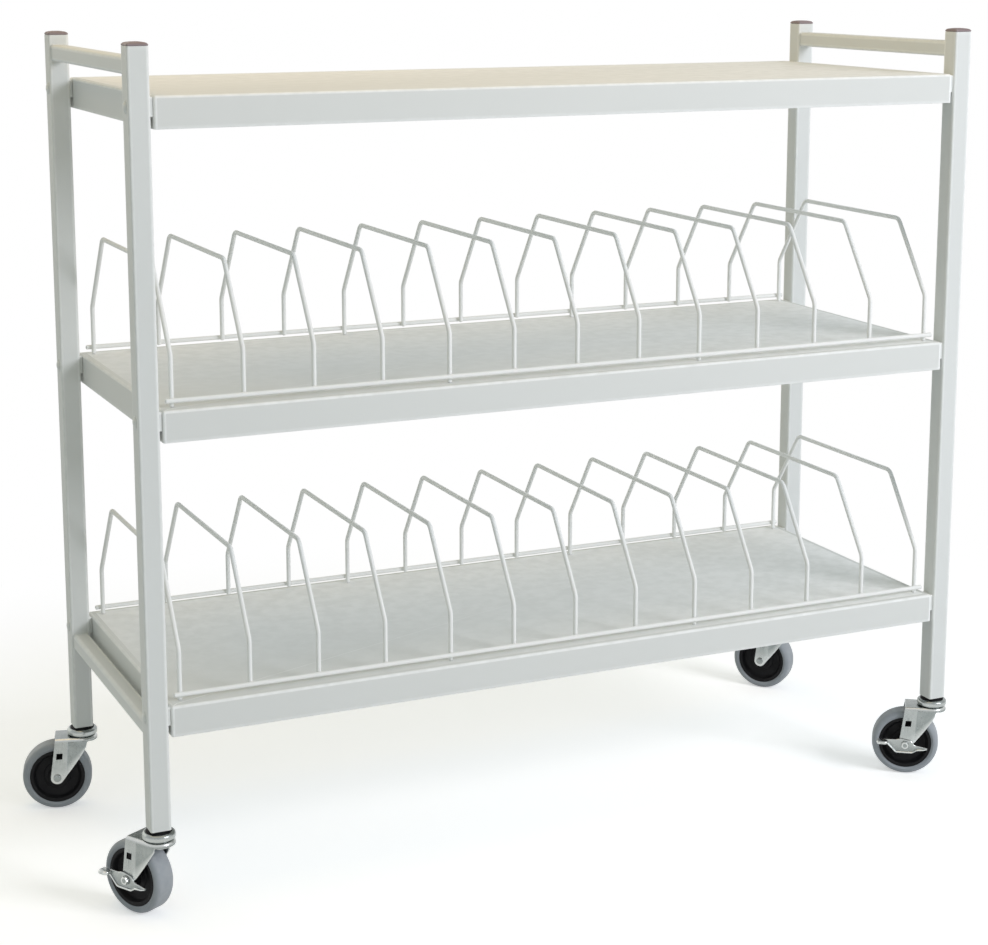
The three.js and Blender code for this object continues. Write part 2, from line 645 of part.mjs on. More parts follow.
/** Posts, caps, handle and end rail of one end; side is -1 at the left and 1 at the right. */
function endFrame(side) {
  const word = side < 0 ? 'left' : 'right';
  const frame = new THREE.Group();
  frame.position.x = side * POST_X;
  for (const [place, row] of [['front', -1], ['back', 1]]) {
    const upright = addPiece(frame, `post_${place}_${word}`, post(-side), PAINT);
    upright.position.y = row * POST_Y;
    const cap = addPiece(frame, `cap_${place}_${word}`, postCap(), CAP_PLASTIC);
    cap.position.y = row * POST_Y;
  }
  const handle = addPiece(frame, `handle_${word}`, crossTube(HANDLE_SIZE, HANDLE_CORNER), PAINT);
  handle.position.z = TOP_SHELF + HANDLE_RISE - HANDLE_SIZE / 2;
  const rail = addPiece(frame, `end_rail_${word}`, crossTube(RAIL_SIZE, RAIL_CORNER), PAINT);
  rail.position.z = BOTTOM_SHELF - RAIL_DROP - RAIL_SIZE / 2;
  return frame;
}

const rack = new THREE.Group();
rack.add(endFrame(-1), endFrame(1));
for (const [tier, height] of Object.entries(SHELF_HEIGHTS)) {
  addPiece(rack, `shelf_${tier}`, shelf(), PAINT).position.z = height;
}
rack.add(dividerRack('middle', MIDDLE_SHELF), dividerRack('bottom', BOTTOM_SHELF));
rack.add(...CASTERS.map(caster));

// The origin lies on the floor, at the middle of the rack's box
const box = new THREE.Box3().setFromObject(rack, true);
rack.position.set(-(box.min.x + box.max.x) / 2, -(box.min.y + box.max.y) / 2, -box.min.z);

export default rack;
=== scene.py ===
"""Looks of a two-tier mobile chart rack: painted end frames and shelves, wire divider racks, casters.

Every surface is a grid of points that numpy works out in millimetres
and that is then placed in the part's frame in metres.
"""
import json
import logging
import math
from collections.abc import Sequence
from dataclasses import dataclass
from enum import Enum

import bmesh
import bpy
import numpy as np
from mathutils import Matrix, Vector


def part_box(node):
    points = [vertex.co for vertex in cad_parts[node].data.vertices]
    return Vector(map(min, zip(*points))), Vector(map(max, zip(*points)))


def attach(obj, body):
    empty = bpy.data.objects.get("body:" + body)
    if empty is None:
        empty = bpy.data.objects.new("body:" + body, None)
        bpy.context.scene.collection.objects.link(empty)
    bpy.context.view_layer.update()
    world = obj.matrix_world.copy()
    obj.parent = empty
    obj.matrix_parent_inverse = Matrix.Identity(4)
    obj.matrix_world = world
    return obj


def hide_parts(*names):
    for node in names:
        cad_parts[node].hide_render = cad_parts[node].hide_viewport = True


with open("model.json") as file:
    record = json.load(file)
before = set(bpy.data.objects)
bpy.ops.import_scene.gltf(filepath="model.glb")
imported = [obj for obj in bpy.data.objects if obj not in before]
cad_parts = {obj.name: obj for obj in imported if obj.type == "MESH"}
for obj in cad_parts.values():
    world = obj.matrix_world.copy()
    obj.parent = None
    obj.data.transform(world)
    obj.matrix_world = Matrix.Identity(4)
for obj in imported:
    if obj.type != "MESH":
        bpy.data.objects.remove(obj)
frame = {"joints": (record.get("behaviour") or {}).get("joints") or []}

LOG = logging.getLogger("chart_rack")
MM = 0.001
PHOTO_WIDTH = 988
LEAST_CORNER = 0.5
Colour = tuple[float, float, float]
Socket = bpy.types.NodeSocket


class Axis(Enum):
    """Direction that a section is carried along: its two section directions, then the direction itself."""

    X = ((0.0, 1.0, 0.0), (0.0, 0.0, 1.0), (1.0, 0.0, 0.0))
    Y = ((0.0, 0.0, 1.0), (1.0, 0.0, 0.0), (0.0, 1.0, 0.0))
    Z = ((1.0, 0.0, 0.0), (0.0, 1.0, 0.0), (0.0, 0.0, 1.0))


class Side(Enum):
    """End of the rack as seen from the front, with its word in the names of nodes."""

    LEFT = "left"
    RIGHT = "right"


class Row(Enum):
    """Front or back of the rack, with its word in the names of nodes."""

    FRONT = "front"
    BACK = "back"


class Slot(Enum):
    """Material slots of the record."""

    FRAME = "frame_paint"
    SHELF = "shelf_paint"
    WIRE = "wire_paint"
    CAP = "cap_plastic"
    ZINC = "zinc_steel"
    HUB = "hub_plastic"
    TYRE = "tyre_rubber"


@dataclass(frozen=True)
class Place:
    """Local frame of a piece in the part's frame, in millimetres; the rows of axes are its directions."""

    origin: np.ndarray
    axes: np.ndarray

    @classmethod
    def along(cls, axis: Axis, origin: Sequence[float]) -> "Place":
        """Place at a point with its third direction along an axis of the part."""
        return cls(np.asarray(origin, float), np.asarray(axis.value, float))

    def flipped(self) -> "Place":
        """Same place with its third direction turned round."""
        return Place(self.origin, np.stack([self.axes[1], self.axes[0], -self.axes[2]]))

    def put(self, local: np.ndarray) -> np.ndarray:
        """Local millimetres as metres in the part's frame."""
        return (local @ self.axes + self.origin) * MM


@dataclass
class Skin:
    """Surface on a grid whose last column joins its first.

    Attributes:
        points: rows by columns by 3, in metres, with columns anticlockwise about the way the rows run.
        wear_and_highlight: rows by columns, 1 on an outer edge and 0 away from it; the finish turns to its
            edge colour there, as rubbing on some finishes and as a painted highlight on others.
        loop: whether the last row joins the first; otherwise both ends are closed with a flat face.
        kept: mask of the quads that stay, or None for all of them.
        ends: whether an open grid's two ends are closed.
    """

    points: np.ndarray
    wear_and_highlight: np.ndarray
    loop: bool = False
    kept: np.ndarray | None = None
    ends: bool = True

    def faces(self, start: int) -> list[list[int]]:
        """Quads between neighbouring rows and columns, then the end faces.

        Args:
            start: index of the grid's first point in the mesh.

        Returns:
            Point indices of each face, turned outwards.
        """
        rows, columns = self.points.shape[:2]
        low, left = np.meshgrid(np.arange(rows if self.loop else rows - 1), np.arange(columns), indexing="ij")
        high, right = (low + 1) % rows, (left + 1) % columns
        rounds = ((low, left), (low, right), (high, right), (high, left))
        quads = np.stack([row * columns + column for row, column in rounds], axis=-1)
        quads = quads.reshape(-1, 4) if self.kept is None else quads[self.kept]
        rim = np.arange(columns)
        ends = [] if self.loop or not self.ends else [rim[::-1] + start, rim + (rows - 1) * columns + start]
        return (quads + start).tolist() + [end.tolist() for end in ends]


def outline(width: float, depth: float, corner: float, steps: int = 4,
            fade: float = 1.6) -> tuple[np.ndarray, np.ndarray]:
    """Rounded rectangle: a quarter arc about each corner's centre, with a point on the flat at either end.

    Args:
        width: size along the first section direction.
        depth: size along the second section direction.
        corner: radius of the arcs.
        steps: chords of one arc.
        fade: distance from the arc to the point on the flat, over which the edge mark, rubbing and painted
            highlight alike, dies away.

    Returns:
        Points anticlockwise, and the wear_and_highlight of each point, which marks rubbing and painted
        highlight alike.
    """
    fade = min(fade, 0.45 * (min(width, depth) - 2 * corner))
    quarter = np.arange(4)[:, None] * math.pi / 2
    angle = quarter + np.linspace(0, math.pi / 2, steps + 1)
    signs = np.stack([[1, -1, -1, 1], [1, 1, -1, -1]], axis=-1)
    centre = signs * np.array([width / 2 - corner, depth / 2 - corner])
    arc = centre[:, None] + corner * np.stack([np.cos(angle), np.sin(angle)], axis=-1)
    tangent = np.stack([-np.sin(angle), np.cos(angle)], axis=-1)
    before, after = arc[:, :1] - fade * tangent[:, :1], arc[:, -1:] + fade * tangent[:, -1:]
    points = np.concatenate([before, arc, after], axis=1)
    wear_and_highlight = np.ones(points.shape[:2])
    wear_and_highlight[:, [0, -1]] = 0.0
    return points.reshape(-1, 2), wear_and_highlight.ravel()


def bent(route: Sequence[Sequence[float]], radii: float | Sequence[float], steps: int) -> np.ndarray:
    """Route with each inner corner turned on an arc that is tangent to both of its legs.

    Args:
        route: corner points in two or three dimensions.
        radii: one radius for all the inner corners, or one for each.
        steps: chords of one arc.

    Returns:
        Points of the route.
    """
    corners = np.asarray(route, float)
    sizes = np.broadcast_to(radii, len(corners) - 2)
    parts = [corners[:1]]
    for here, before, after, radius in zip(corners[1:-1], corners[:-2], corners[2:], sizes):
        back = (before - here) / np.linalg.norm(before - here)
        ahead = (after - here) / np.linalg.norm(after - here)
        half = math.acos(float(np.clip(back @ ahead, -1, 1))) / 2
        bisector = (back + ahead) / np.linalg.norm(back + ahead)
        centre = here + bisector * radius / math.sin(half)
        spoke = here + back * radius / math.tan(half) - centre
        turn = np.linspace(0, math.pi - 2 * half, steps + 1)[:, None]
        parts.append(centre + spoke * np.cos(turn) - back * radius * np.sin(turn))
    return np.concatenate([*parts, corners[-1:]])


def carried(place: Place, width: float, depth: float, corner: float,
            rows: Sequence[tuple[float, float, float]]) -> Skin:
    """Rounded rectangle carried along the place's third direction, drawn in by each row's inset.

    Args:
        place: frame of the section.
        width: size of the full section along the first direction.
        depth: size of the full section along the second direction.
        corner: corner radius of the full section; an inset takes as much off it, down to the least.
        rows: inset, height and wear_and_highlight of each section.

    Returns:
        The closed surface.
    """
    made = [outline(width - 2 * inset, depth - 2 * inset, max(corner - inset, LEAST_CORNER))
            for inset, _, _ in rows]
    flat = np.stack([points for points, _ in made])
    height = np.array([height for _, height, _ in rows])[:, None, None]
    local = np.concatenate([flat, np.broadcast_to(height, (*flat.shape[:2], 1))], axis=-1)
    wear_and_highlight = np.stack([np.maximum(edge, row[2]) for (_, edge), row in zip(made, rows)])
    return Skin(place.put(local), wear_and_highlight)


def revolved(place: Place, profile: np.ndarray, segments: int, flats: float = math.inf,
             loop: bool = False, wear_and_highlight: np.ndarray | None = None) -> Skin:
    """Profile of radius and height turned about the place's third direction, or cut to a hexagon.

    Args:
        place: frame of the turning.
        profile: radius and height pairs, running up the outside.
        segments: columns round the axis.
        flats: width across the flats of the hexagon that the radius is held within.
        loop: whether the profile closes on itself.
        wear_and_highlight: edge mark of each profile point, for rubbing and painted highlight alike.

    Returns:
        The turned surface.
    """
    angle = np.linspace(0, 2 * math.pi, segments, endpoint=False)
    folded = (angle + math.pi / 6) % (math.pi / 3) - math.pi / 6
    radius = np.minimum(profile[:, :1], flats / 2 / np.cos(folded))
    height = np.broadcast_to(profile[:, 1:], radius.shape)
    local = np.stack([radius * np.cos(angle), radius * np.sin(angle), height], axis=-1)
    edge = np.zeros(len(profile)) if wear_and_highlight is None else wear_and_highlight
    return Skin(place.put(local), np.broadcast_to(edge[:, None], radius.shape), loop)


def wire(path: np.ndarray, radius: float, across: Sequence[float], sides: int = 14) -> Skin:
    """Round wire: a circle carried along a path that lies square to one direction, with rounded-off ends.

    Args:
        path: points of the centre line in the part's frame, in millimetres.
        radius: radius of the wire.
        across: direction that the whole path is square to.
        sides: points of the circle.

    Returns:
        The closed surface.
    """
    ease, narrow = 0.4 * radius, 0.6
    first, last = path[1] - path[0], path[-1] - path[-2]
    start = path[0] + ease * first / np.linalg.norm(first)
    stop = path[-1] - ease * last / np.linalg.norm(last)
    line = np.concatenate([path[:1], [start], path[1:-1], [stop], path[-1:]])
    tangent = np.gradient(line, axis=0)
    tangent /= np.linalg.norm(tangent, axis=1, keepdims=True)
    side = np.broadcast_to(np.asarray(across, float), line.shape)
    up = np.cross(tangent, side)
    thick = np.full(len(line), radius)
    thick[[0, -1]] *= narrow
    angle = np.linspace(0, 2 * math.pi, sides, endpoint=False)[:, None]
    ring = side[:, None] * np.cos(angle) + up[:, None] * np.sin(angle)
    points = line[:, None] + thick[:, None, None] * ring
    return Skin(points * MM, np.zeros(points.shape[:2]))


def smooth(share: np.ndarray) -> np.ndarray:
    """Smooth step of a share: 0 up to 0, 1 from 1 on, and a cubic between them."""
    held = np.clip(share, 0, 1)
    return held ** 2 * (3 - 2 * held)


def bead(place: Place, width: float, depth: float, corner: float, size: float, ripples: int = 30) -> Skin:
    """Weld bead round a tube: a quarter circle carried round the tube's outline, its size rippled by a sine.

    Args:
        place: frame of the tube's outline, with the third direction away from the plate that it is welded to.
        width: size of the tube along the first direction.
        depth: size of the tube along the second direction.
        corner: corner radius of the tube.
        size: reach of the bead on the plate and on the tube.
        ripples: waves round the outline.

    Returns:
        The closed ring.
    """
    sunk_in, sunk_down, swell = -0.3, -0.2, 0.12
    turn = np.linspace(0, math.pi / 2, 5)
    reach = np.append(np.cos(turn), sunk_in)
    height = np.append(np.sin(turn), sunk_down)
    around = np.linspace(0, 1, 4 * ripples, endpoint=False)
    wave = size * (1 + swell * np.sin(2 * math.pi * ripples * around))
    rounds = []
    for share in reach:
        grown = size * share
        points, _ = outline(width + 2 * grown, depth + 2 * grown, max(corner + grown, LEAST_CORNER))
        loop = np.concatenate([points, points[:1]])
        length = np.concatenate([[0], np.cumsum(np.linalg.norm(np.diff(loop, axis=0), axis=1))])
        spots = around * length[-1]
        rounds.append(np.stack([np.interp(spots, length, loop[:, k]) for k in range(2)], axis=-1))
    local = np.concatenate([np.stack(rounds), (height[:, None] * wave)[..., None]], axis=-1)
    return Skin(place.put(local), np.zeros(local.shape[:2]), loop=True)


def nugget(centre: Sequence[float], reach: Sequence[float]) -> Skin:
    """Weld nugget: an ellipsoid, its rings running from pole to pole with a small flat at each.

    Args:
        centre: centre in the part's frame, in millimetres.
        reach: half sizes along X, Y and Z.

    Returns:
        The closed surface.
    """
    turn = np.linspace(-0.45, 0.45, 7) * math.pi
    profile = np.stack([np.cos(turn), np.sin(turn)], axis=-1)
    ball = revolved(Place(np.zeros(3), np.eye(3)), profile, segments=10)
    return Skin((ball.points / MM * np.asarray(reach) + np.asarray(centre)) * MM, ball.wear_and_highlight)


class NodeBoard:
    """Node tree of a material or the world, with short calls that add and join its nodes."""

    def __init__(self, owner: bpy.types.Material | bpy.types.World) -> None:
        """Opens the owner's node tree."""
        owner.use_nodes = True
        self.tree = owner.node_tree

    def join(self, source: Socket, target: Socket) -> None:
        """Joins an output to an input."""
        self.tree.links.new(source, target)

    def add(self, kind: str, *sources: Socket, **values: float | Sequence[float]) -> bpy.types.Node:
        """Adds a node.

        Args:
            kind: name of the node's type after ShaderNode.
            sources: outputs that go to the node's first inputs, in order.
            values: inputs to set by name, with _ for a space.

        Returns:
            The new node.
        """
        node = self.tree.nodes.new(f"ShaderNode{kind}")
        for source, target in zip(sources, node.inputs):
            self.join(source, target)
        for name, value in values.items():
            node.inputs[name.replace("_", " ")].default_value = value
        return node

    def mapped(self, stretch: Sequence[float] = (1, 1, 1)) -> Socket:
        """Piece's own coordinates, multiplied by a factor along X, Y and Z."""
        coords = self.add("TexCoord").outputs["Object"]
        return self.add("Mapping", coords, Scale=tuple(stretch)).outputs["Vector"]

    def noise(self, scale: float, detail: float = 3.0, stretch: Sequence[float] = (1, 1, 1)) -> Socket:
        """Noise over the piece.

        Args:
            scale: waves per metre.
            detail: octaves of finer noise.
            stretch: factor on the coordinates along X, Y and Z.

        Returns:
            The noise's factor.
        """
        return self.add("TexNoise", self.mapped(stretch), Scale=scale, Detail=detail).outputs["Fac"]

    def spread(self, source: Socket, low: float, high: float, first: float = 0.35,
               last: float = 0.65) -> Socket:
        """Stretches a factor between two of its values over a range.

        Args:
            source: factor to stretch.
            low: result at the first value.
            high: result at the last value.
            first: value of the source that gives low.
            last: value of the source that gives high.

        Returns:
            The stretched factor.
        """
        ends = {"From_Min": first, "From_Max": last, "To_Min": low, "To_Max": high}
        return self.add("MapRange", source, **ends).outputs["Result"]

    def blend(self, factor: Socket, first: Socket | Colour, second: Colour) -> Socket:
        """Mixes two colours.

        Args:
            factor: share of the second colour.
            first: colour or colour output at factor 0.
            second: colour at factor 1.

        Returns:
            The mixed colour.
        """
        mix = self.add("Mix", factor)
        mix.data_type = "RGBA"
        if isinstance(first, tuple):
            mix.inputs[6].default_value = (*first, 1.0)
        else:
            self.join(first, mix.inputs[6])
        mix.inputs[7].default_value = (*second, 1.0)
        return mix.outputs[2]

    def combine(self, operation: str, first: Socket, second: Socket) -> Socket:
        """Joins two factors by an operation of the Math node."""
        node = self.add("Math", first, second)
        node.operation = operation
        return node.outputs["Value"]

    def highlight_and_wear(self) -> Socket:
        """Edge mark that the mesh carries on its points: rubbing on some finishes, a painted highlight on
        others.
        """
        attribute = self.add("Attribute")
        attribute.attribute_name = "wear_and_highlight"
        return attribute.outputs["Fac"]

    def dress(self, colour: Socket, roughness: Socket, height: Socket, strength: float, depth: float) -> None:
        """Joins a finish to the principled shader.

        Args:
            colour: base colour.
            roughness: roughness.
            height: factor that raises the surface.
            strength: share of the bump's effect.
            depth: height of a full factor, in metres.
        """
        bump = self.add("Bump", Strength=strength, Distance=depth)
        self.join(height, bump.inputs["Height"])
        sources = {"Base Color": colour, "Roughness": roughness, "Normal": bump.outputs["Normal"]}
        for name, source in sources.items():
            self.join(source, self.tree.nodes["Principled BSDF"].inputs[name])


@dataclass(frozen=True)
class Finish:
    """Finish of a slot: its material's name, its own colour, the one that it drifts to, and the edge colour
    that the mesh's edge mark turns it to, for rubbing and dust on some finishes and for painted highlight on
    others.
    """

    name: str
    colour: Colour
    drift: Colour
    edge: Colour

    def material(self) -> bpy.types.Material:
        """Makes the material and paints it."""
        made = bpy.data.materials.new(self.name)
        board = NodeBoard(made)
        self.paint(board, board.tree.nodes["Principled BSDF"])
        return made

    def paint(self, board: NodeBoard, shader: bpy.types.Node) -> None:
        """Fills the material's board, and sets what is the same all over on the shader itself."""
        raise NotImplementedError


@dataclass(frozen=True)
class PowderCoat(Finish):
    """Satin powder coat: faint cloudy drift, fine speckle, paler edges that are partly rubbed paint and
    partly a painted highlight along folds and corners, and an orange-peel skin.
    """

    shine: float = 0.10
    cloud_scale: float = 4.0
    speckle_scale: float = 900.0
    rub_and_highlight_scale: float = 60.0
    gloss_scale: float = 25.0
    peel_scale: float = 650.0

    def paint(self, board: NodeBoard, shader: bpy.types.Node) -> None:
        """Paints the coat."""
        shader.inputs["Specular IOR Level"].default_value = self.shine
        cloud = board.spread(board.noise(self.cloud_scale, 4.0), 0.0, 1.0)
        coat = board.blend(cloud, self.colour, self.drift)
        speckle = board.spread(board.noise(self.speckle_scale, 1.0), 0.0, 0.16, 0.55, 0.75)
        coat = board.blend(speckle, coat, self.drift)
        # Paler edges: partly rubbed paint and partly a painted highlight along folds and corners, broken up
        # by patches.
        patch = board.spread(board.noise(self.rub_and_highlight_scale, 5.0), 0.6, 1.0)
        coat = board.blend(board.combine("MULTIPLY", board.highlight_and_wear(), patch), coat, self.edge)
        gloss = board.spread(board.noise(self.gloss_scale), 0.50, 0.52)
        board.dress(coat, gloss, board.noise(self.peel_scale, 2.0), 0.04, 0.0001)


@dataclass(frozen=True)
class ZincPlate(Finish):
    """Bright zinc plate: drawn streaks, faint blue and yellow drift, dulled patches, and a painted highlight
    in a paler colour where the mesh's edge mark lies.
    """

    patch_scale: float = 90.0
    streak_scale: float = 500.0
    gloss_scale: float = 140.0
    dent_scale: float = 420.0

    def paint(self, board: NodeBoard, shader: bpy.types.Node) -> None:
        """Paints the plate."""
        shader.inputs["Metallic"].default_value = 1.0
        patch = board.spread(board.noise(self.patch_scale, 4.0), 0.0, 1.0)
        plate = board.blend(patch, self.colour, self.drift)
        streak = board.spread(board.noise(self.streak_scale, 2.0, (1, 1, 0.12)), 0.0, 0.35)
        plate = board.blend(streak, plate, self.drift)
        # Painted highlight: the pale edge colour where the mesh marks bands, shoulders, cut edges and panels.
        plate = board.blend(board.spread(board.highlight_and_wear(), 0.0, 0.8, 0.0, 1.0), plate, self.edge)
        gloss = board.spread(board.noise(self.gloss_scale), 0.18, 0.30)
        board.dress(plate, gloss, board.noise(self.dent_scale), 0.10, 0.0002)


@dataclass(frozen=True)
class MouldedPlastic(Finish):
    """Moulded plastic: spark-eroded grain, slightly paler edges and an uneven satin gloss."""

    grain: float = 1400.0
    shine: float = 0.14
    patch_scale: float = 70.0
    gloss_scale: float = 50.0

    def paint(self, board: NodeBoard, shader: bpy.types.Node) -> None:
        """Paints the plastic."""
        shader.inputs["Specular IOR Level"].default_value = self.shine
        patch = board.spread(board.noise(self.patch_scale, 4.0), 0.0, 0.3)
        tone = board.blend(patch, self.colour, self.drift)
        tone = board.blend(board.spread(board.highlight_and_wear(), 0.0, 0.6, 0.0, 1.0), tone, self.edge)
        gloss = board.spread(board.noise(self.gloss_scale), 0.42, 0.6)
        board.dress(tone, gloss, board.noise(self.grain, 2.0), 0.22, 0.0002)


@dataclass(frozen=True)
class GreyRubber(Finish):
    """Non-marking grey rubber: soft cloudiness, and scuffs and dust where the mesh's edge mark lies on the
    tread.
    """

    cloud_scale: float = 45.0
    scuff_scale: float = 160.0
    gloss_scale: float = 80.0
    grain: float = 520.0

    def paint(self, board: NodeBoard, shader: bpy.types.Node) -> None:
        """Paints the rubber."""
        cloud = board.spread(board.noise(self.cloud_scale, 4.0), 0.0, 1.0)
        tone = board.blend(cloud, self.colour, self.drift)
        patch = board.spread(board.noise(self.scuff_scale, 6.0), 0.1, 0.8, 0.4, 0.7)
        tone = board.blend(board.combine("MULTIPLY", board.highlight_and_wear(), patch), tone, self.edge)
        gloss = board.spread(board.noise(self.gloss_scale), 0.5, 0.68)
        board.dress(tone, gloss, board.noise(self.grain, 4.0), 0.18, 0.0002)


CAP_EDGE = (0.34, 0.285, 0.29)
HUB_EDGE = (0.014, 0.014, 0.015)
FINISHES: dict[Slot, Finish] = {
    # The third colour of each finish is its edge colour: on the frame partly rubbed paint and partly a
    # painted highlight on corners, on the shelf mostly a painted highlight along the folds, on the zinc a
    # painted highlight.
    Slot.FRAME: PowderCoat("frame_powder_coat", (0.735, 0.75, 0.73), (0.72, 0.735, 0.715),
                           (0.84, 0.85, 0.83)),
    # The shelf coat is a touch warmer than the frame's: a trace of the warm light on the top shelf, painted
    # in.
    Slot.SHELF: PowderCoat("shelf_powder_coat", (0.735, 0.745, 0.72), (0.728, 0.738, 0.713),
                           (0.95, 0.955, 0.94)),
    Slot.WIRE: PowderCoat("wire_powder_coat", (0.90, 0.90, 0.88), (0.88, 0.885, 0.865), (0.93, 0.92, 0.90)),
    Slot.CAP: MouldedPlastic("cap_plastic", (0.25, 0.195, 0.20), CAP_EDGE, CAP_EDGE, grain=900.0),
    Slot.ZINC: ZincPlate("zinc_plate", (0.32, 0.345, 0.34), (0.26, 0.285, 0.28), (0.66, 0.68, 0.67)),
    Slot.HUB: MouldedPlastic("hub_plastic", (0.007, 0.007, 0.008), HUB_EDGE, HUB_EDGE),
    Slot.TYRE: GreyRubber("grey_rubber", (0.30, 0.325, 0.35), (0.335, 0.36, 0.385), (0.38, 0.395, 0.41)),
}


class PaintShop:
    """Holds one material for each slot and makes pieces in them.

    Edges stay sharp from the crease angle on, in degrees, and points within same_point metres are joined.
    """

    crease: float = 34.0
    same_point: float = 1e-6

    def __init__(self) -> None:
        """Builds every finish once."""
        self.materials = {slot: finish.material() for slot, finish in FINISHES.items()}
        self.count = 0

    def piece(self, name: str, skins: Sequence[Skin], slot: Slot, body: str,
              nodes: Sequence[str] = ()) -> None:
        """Joins surfaces into one piece, dresses it and hangs it on a body.

        Args:
            name: name of the piece.
            skins: surfaces of the piece.
            slot: finish of the piece.
            body: body that it rides on.
            nodes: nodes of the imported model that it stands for.
        """
        points = np.concatenate([skin.points.reshape(-1, 3) for skin in skins])
        starts = np.cumsum([0] + [skin.wear_and_highlight.size for skin in skins[:-1]])
        faces = [face for skin, start in zip(skins, starts) for face in skin.faces(int(start))]
        mesh = bpy.data.meshes.new(name)
        mesh.from_pydata(points, [], faces)
        wear_and_highlight = mesh.attributes.new("wear_and_highlight", "FLOAT", "POINT")
        values = np.concatenate([skin.wear_and_highlight.ravel() for skin in skins])
        wear_and_highlight.data.foreach_set("value", values.astype(np.float32))
        shape = bmesh.new()
        shape.from_mesh(mesh)
        bmesh.ops.remove_doubles(shape, verts=shape.verts, dist=self.same_point)
        shape.to_mesh(mesh)
        shape.free()
        mesh.polygons.foreach_set("use_smooth", np.ones(len(mesh.polygons), bool))
        mesh.set_sharp_from_angle(angle=math.radians(self.crease))
        mesh.materials.append(self.materials[slot])
        made = bpy.data.objects.new(name, mesh)
        bpy.context.scene.collection.objects.link(made)
        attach(made, body)
        if nodes:
            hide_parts(*nodes)
        self.count += 1
        LOG.info("%s on %s: %d faces in %s", name, body, len(mesh.polygons), slot.value)


def corners(node: str) -> tuple[np.ndarray, np.ndarray]:
    """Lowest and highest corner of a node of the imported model, in millimetres."""
    low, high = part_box(node)
    return np.array(low) / MM, np.array(high) / MM


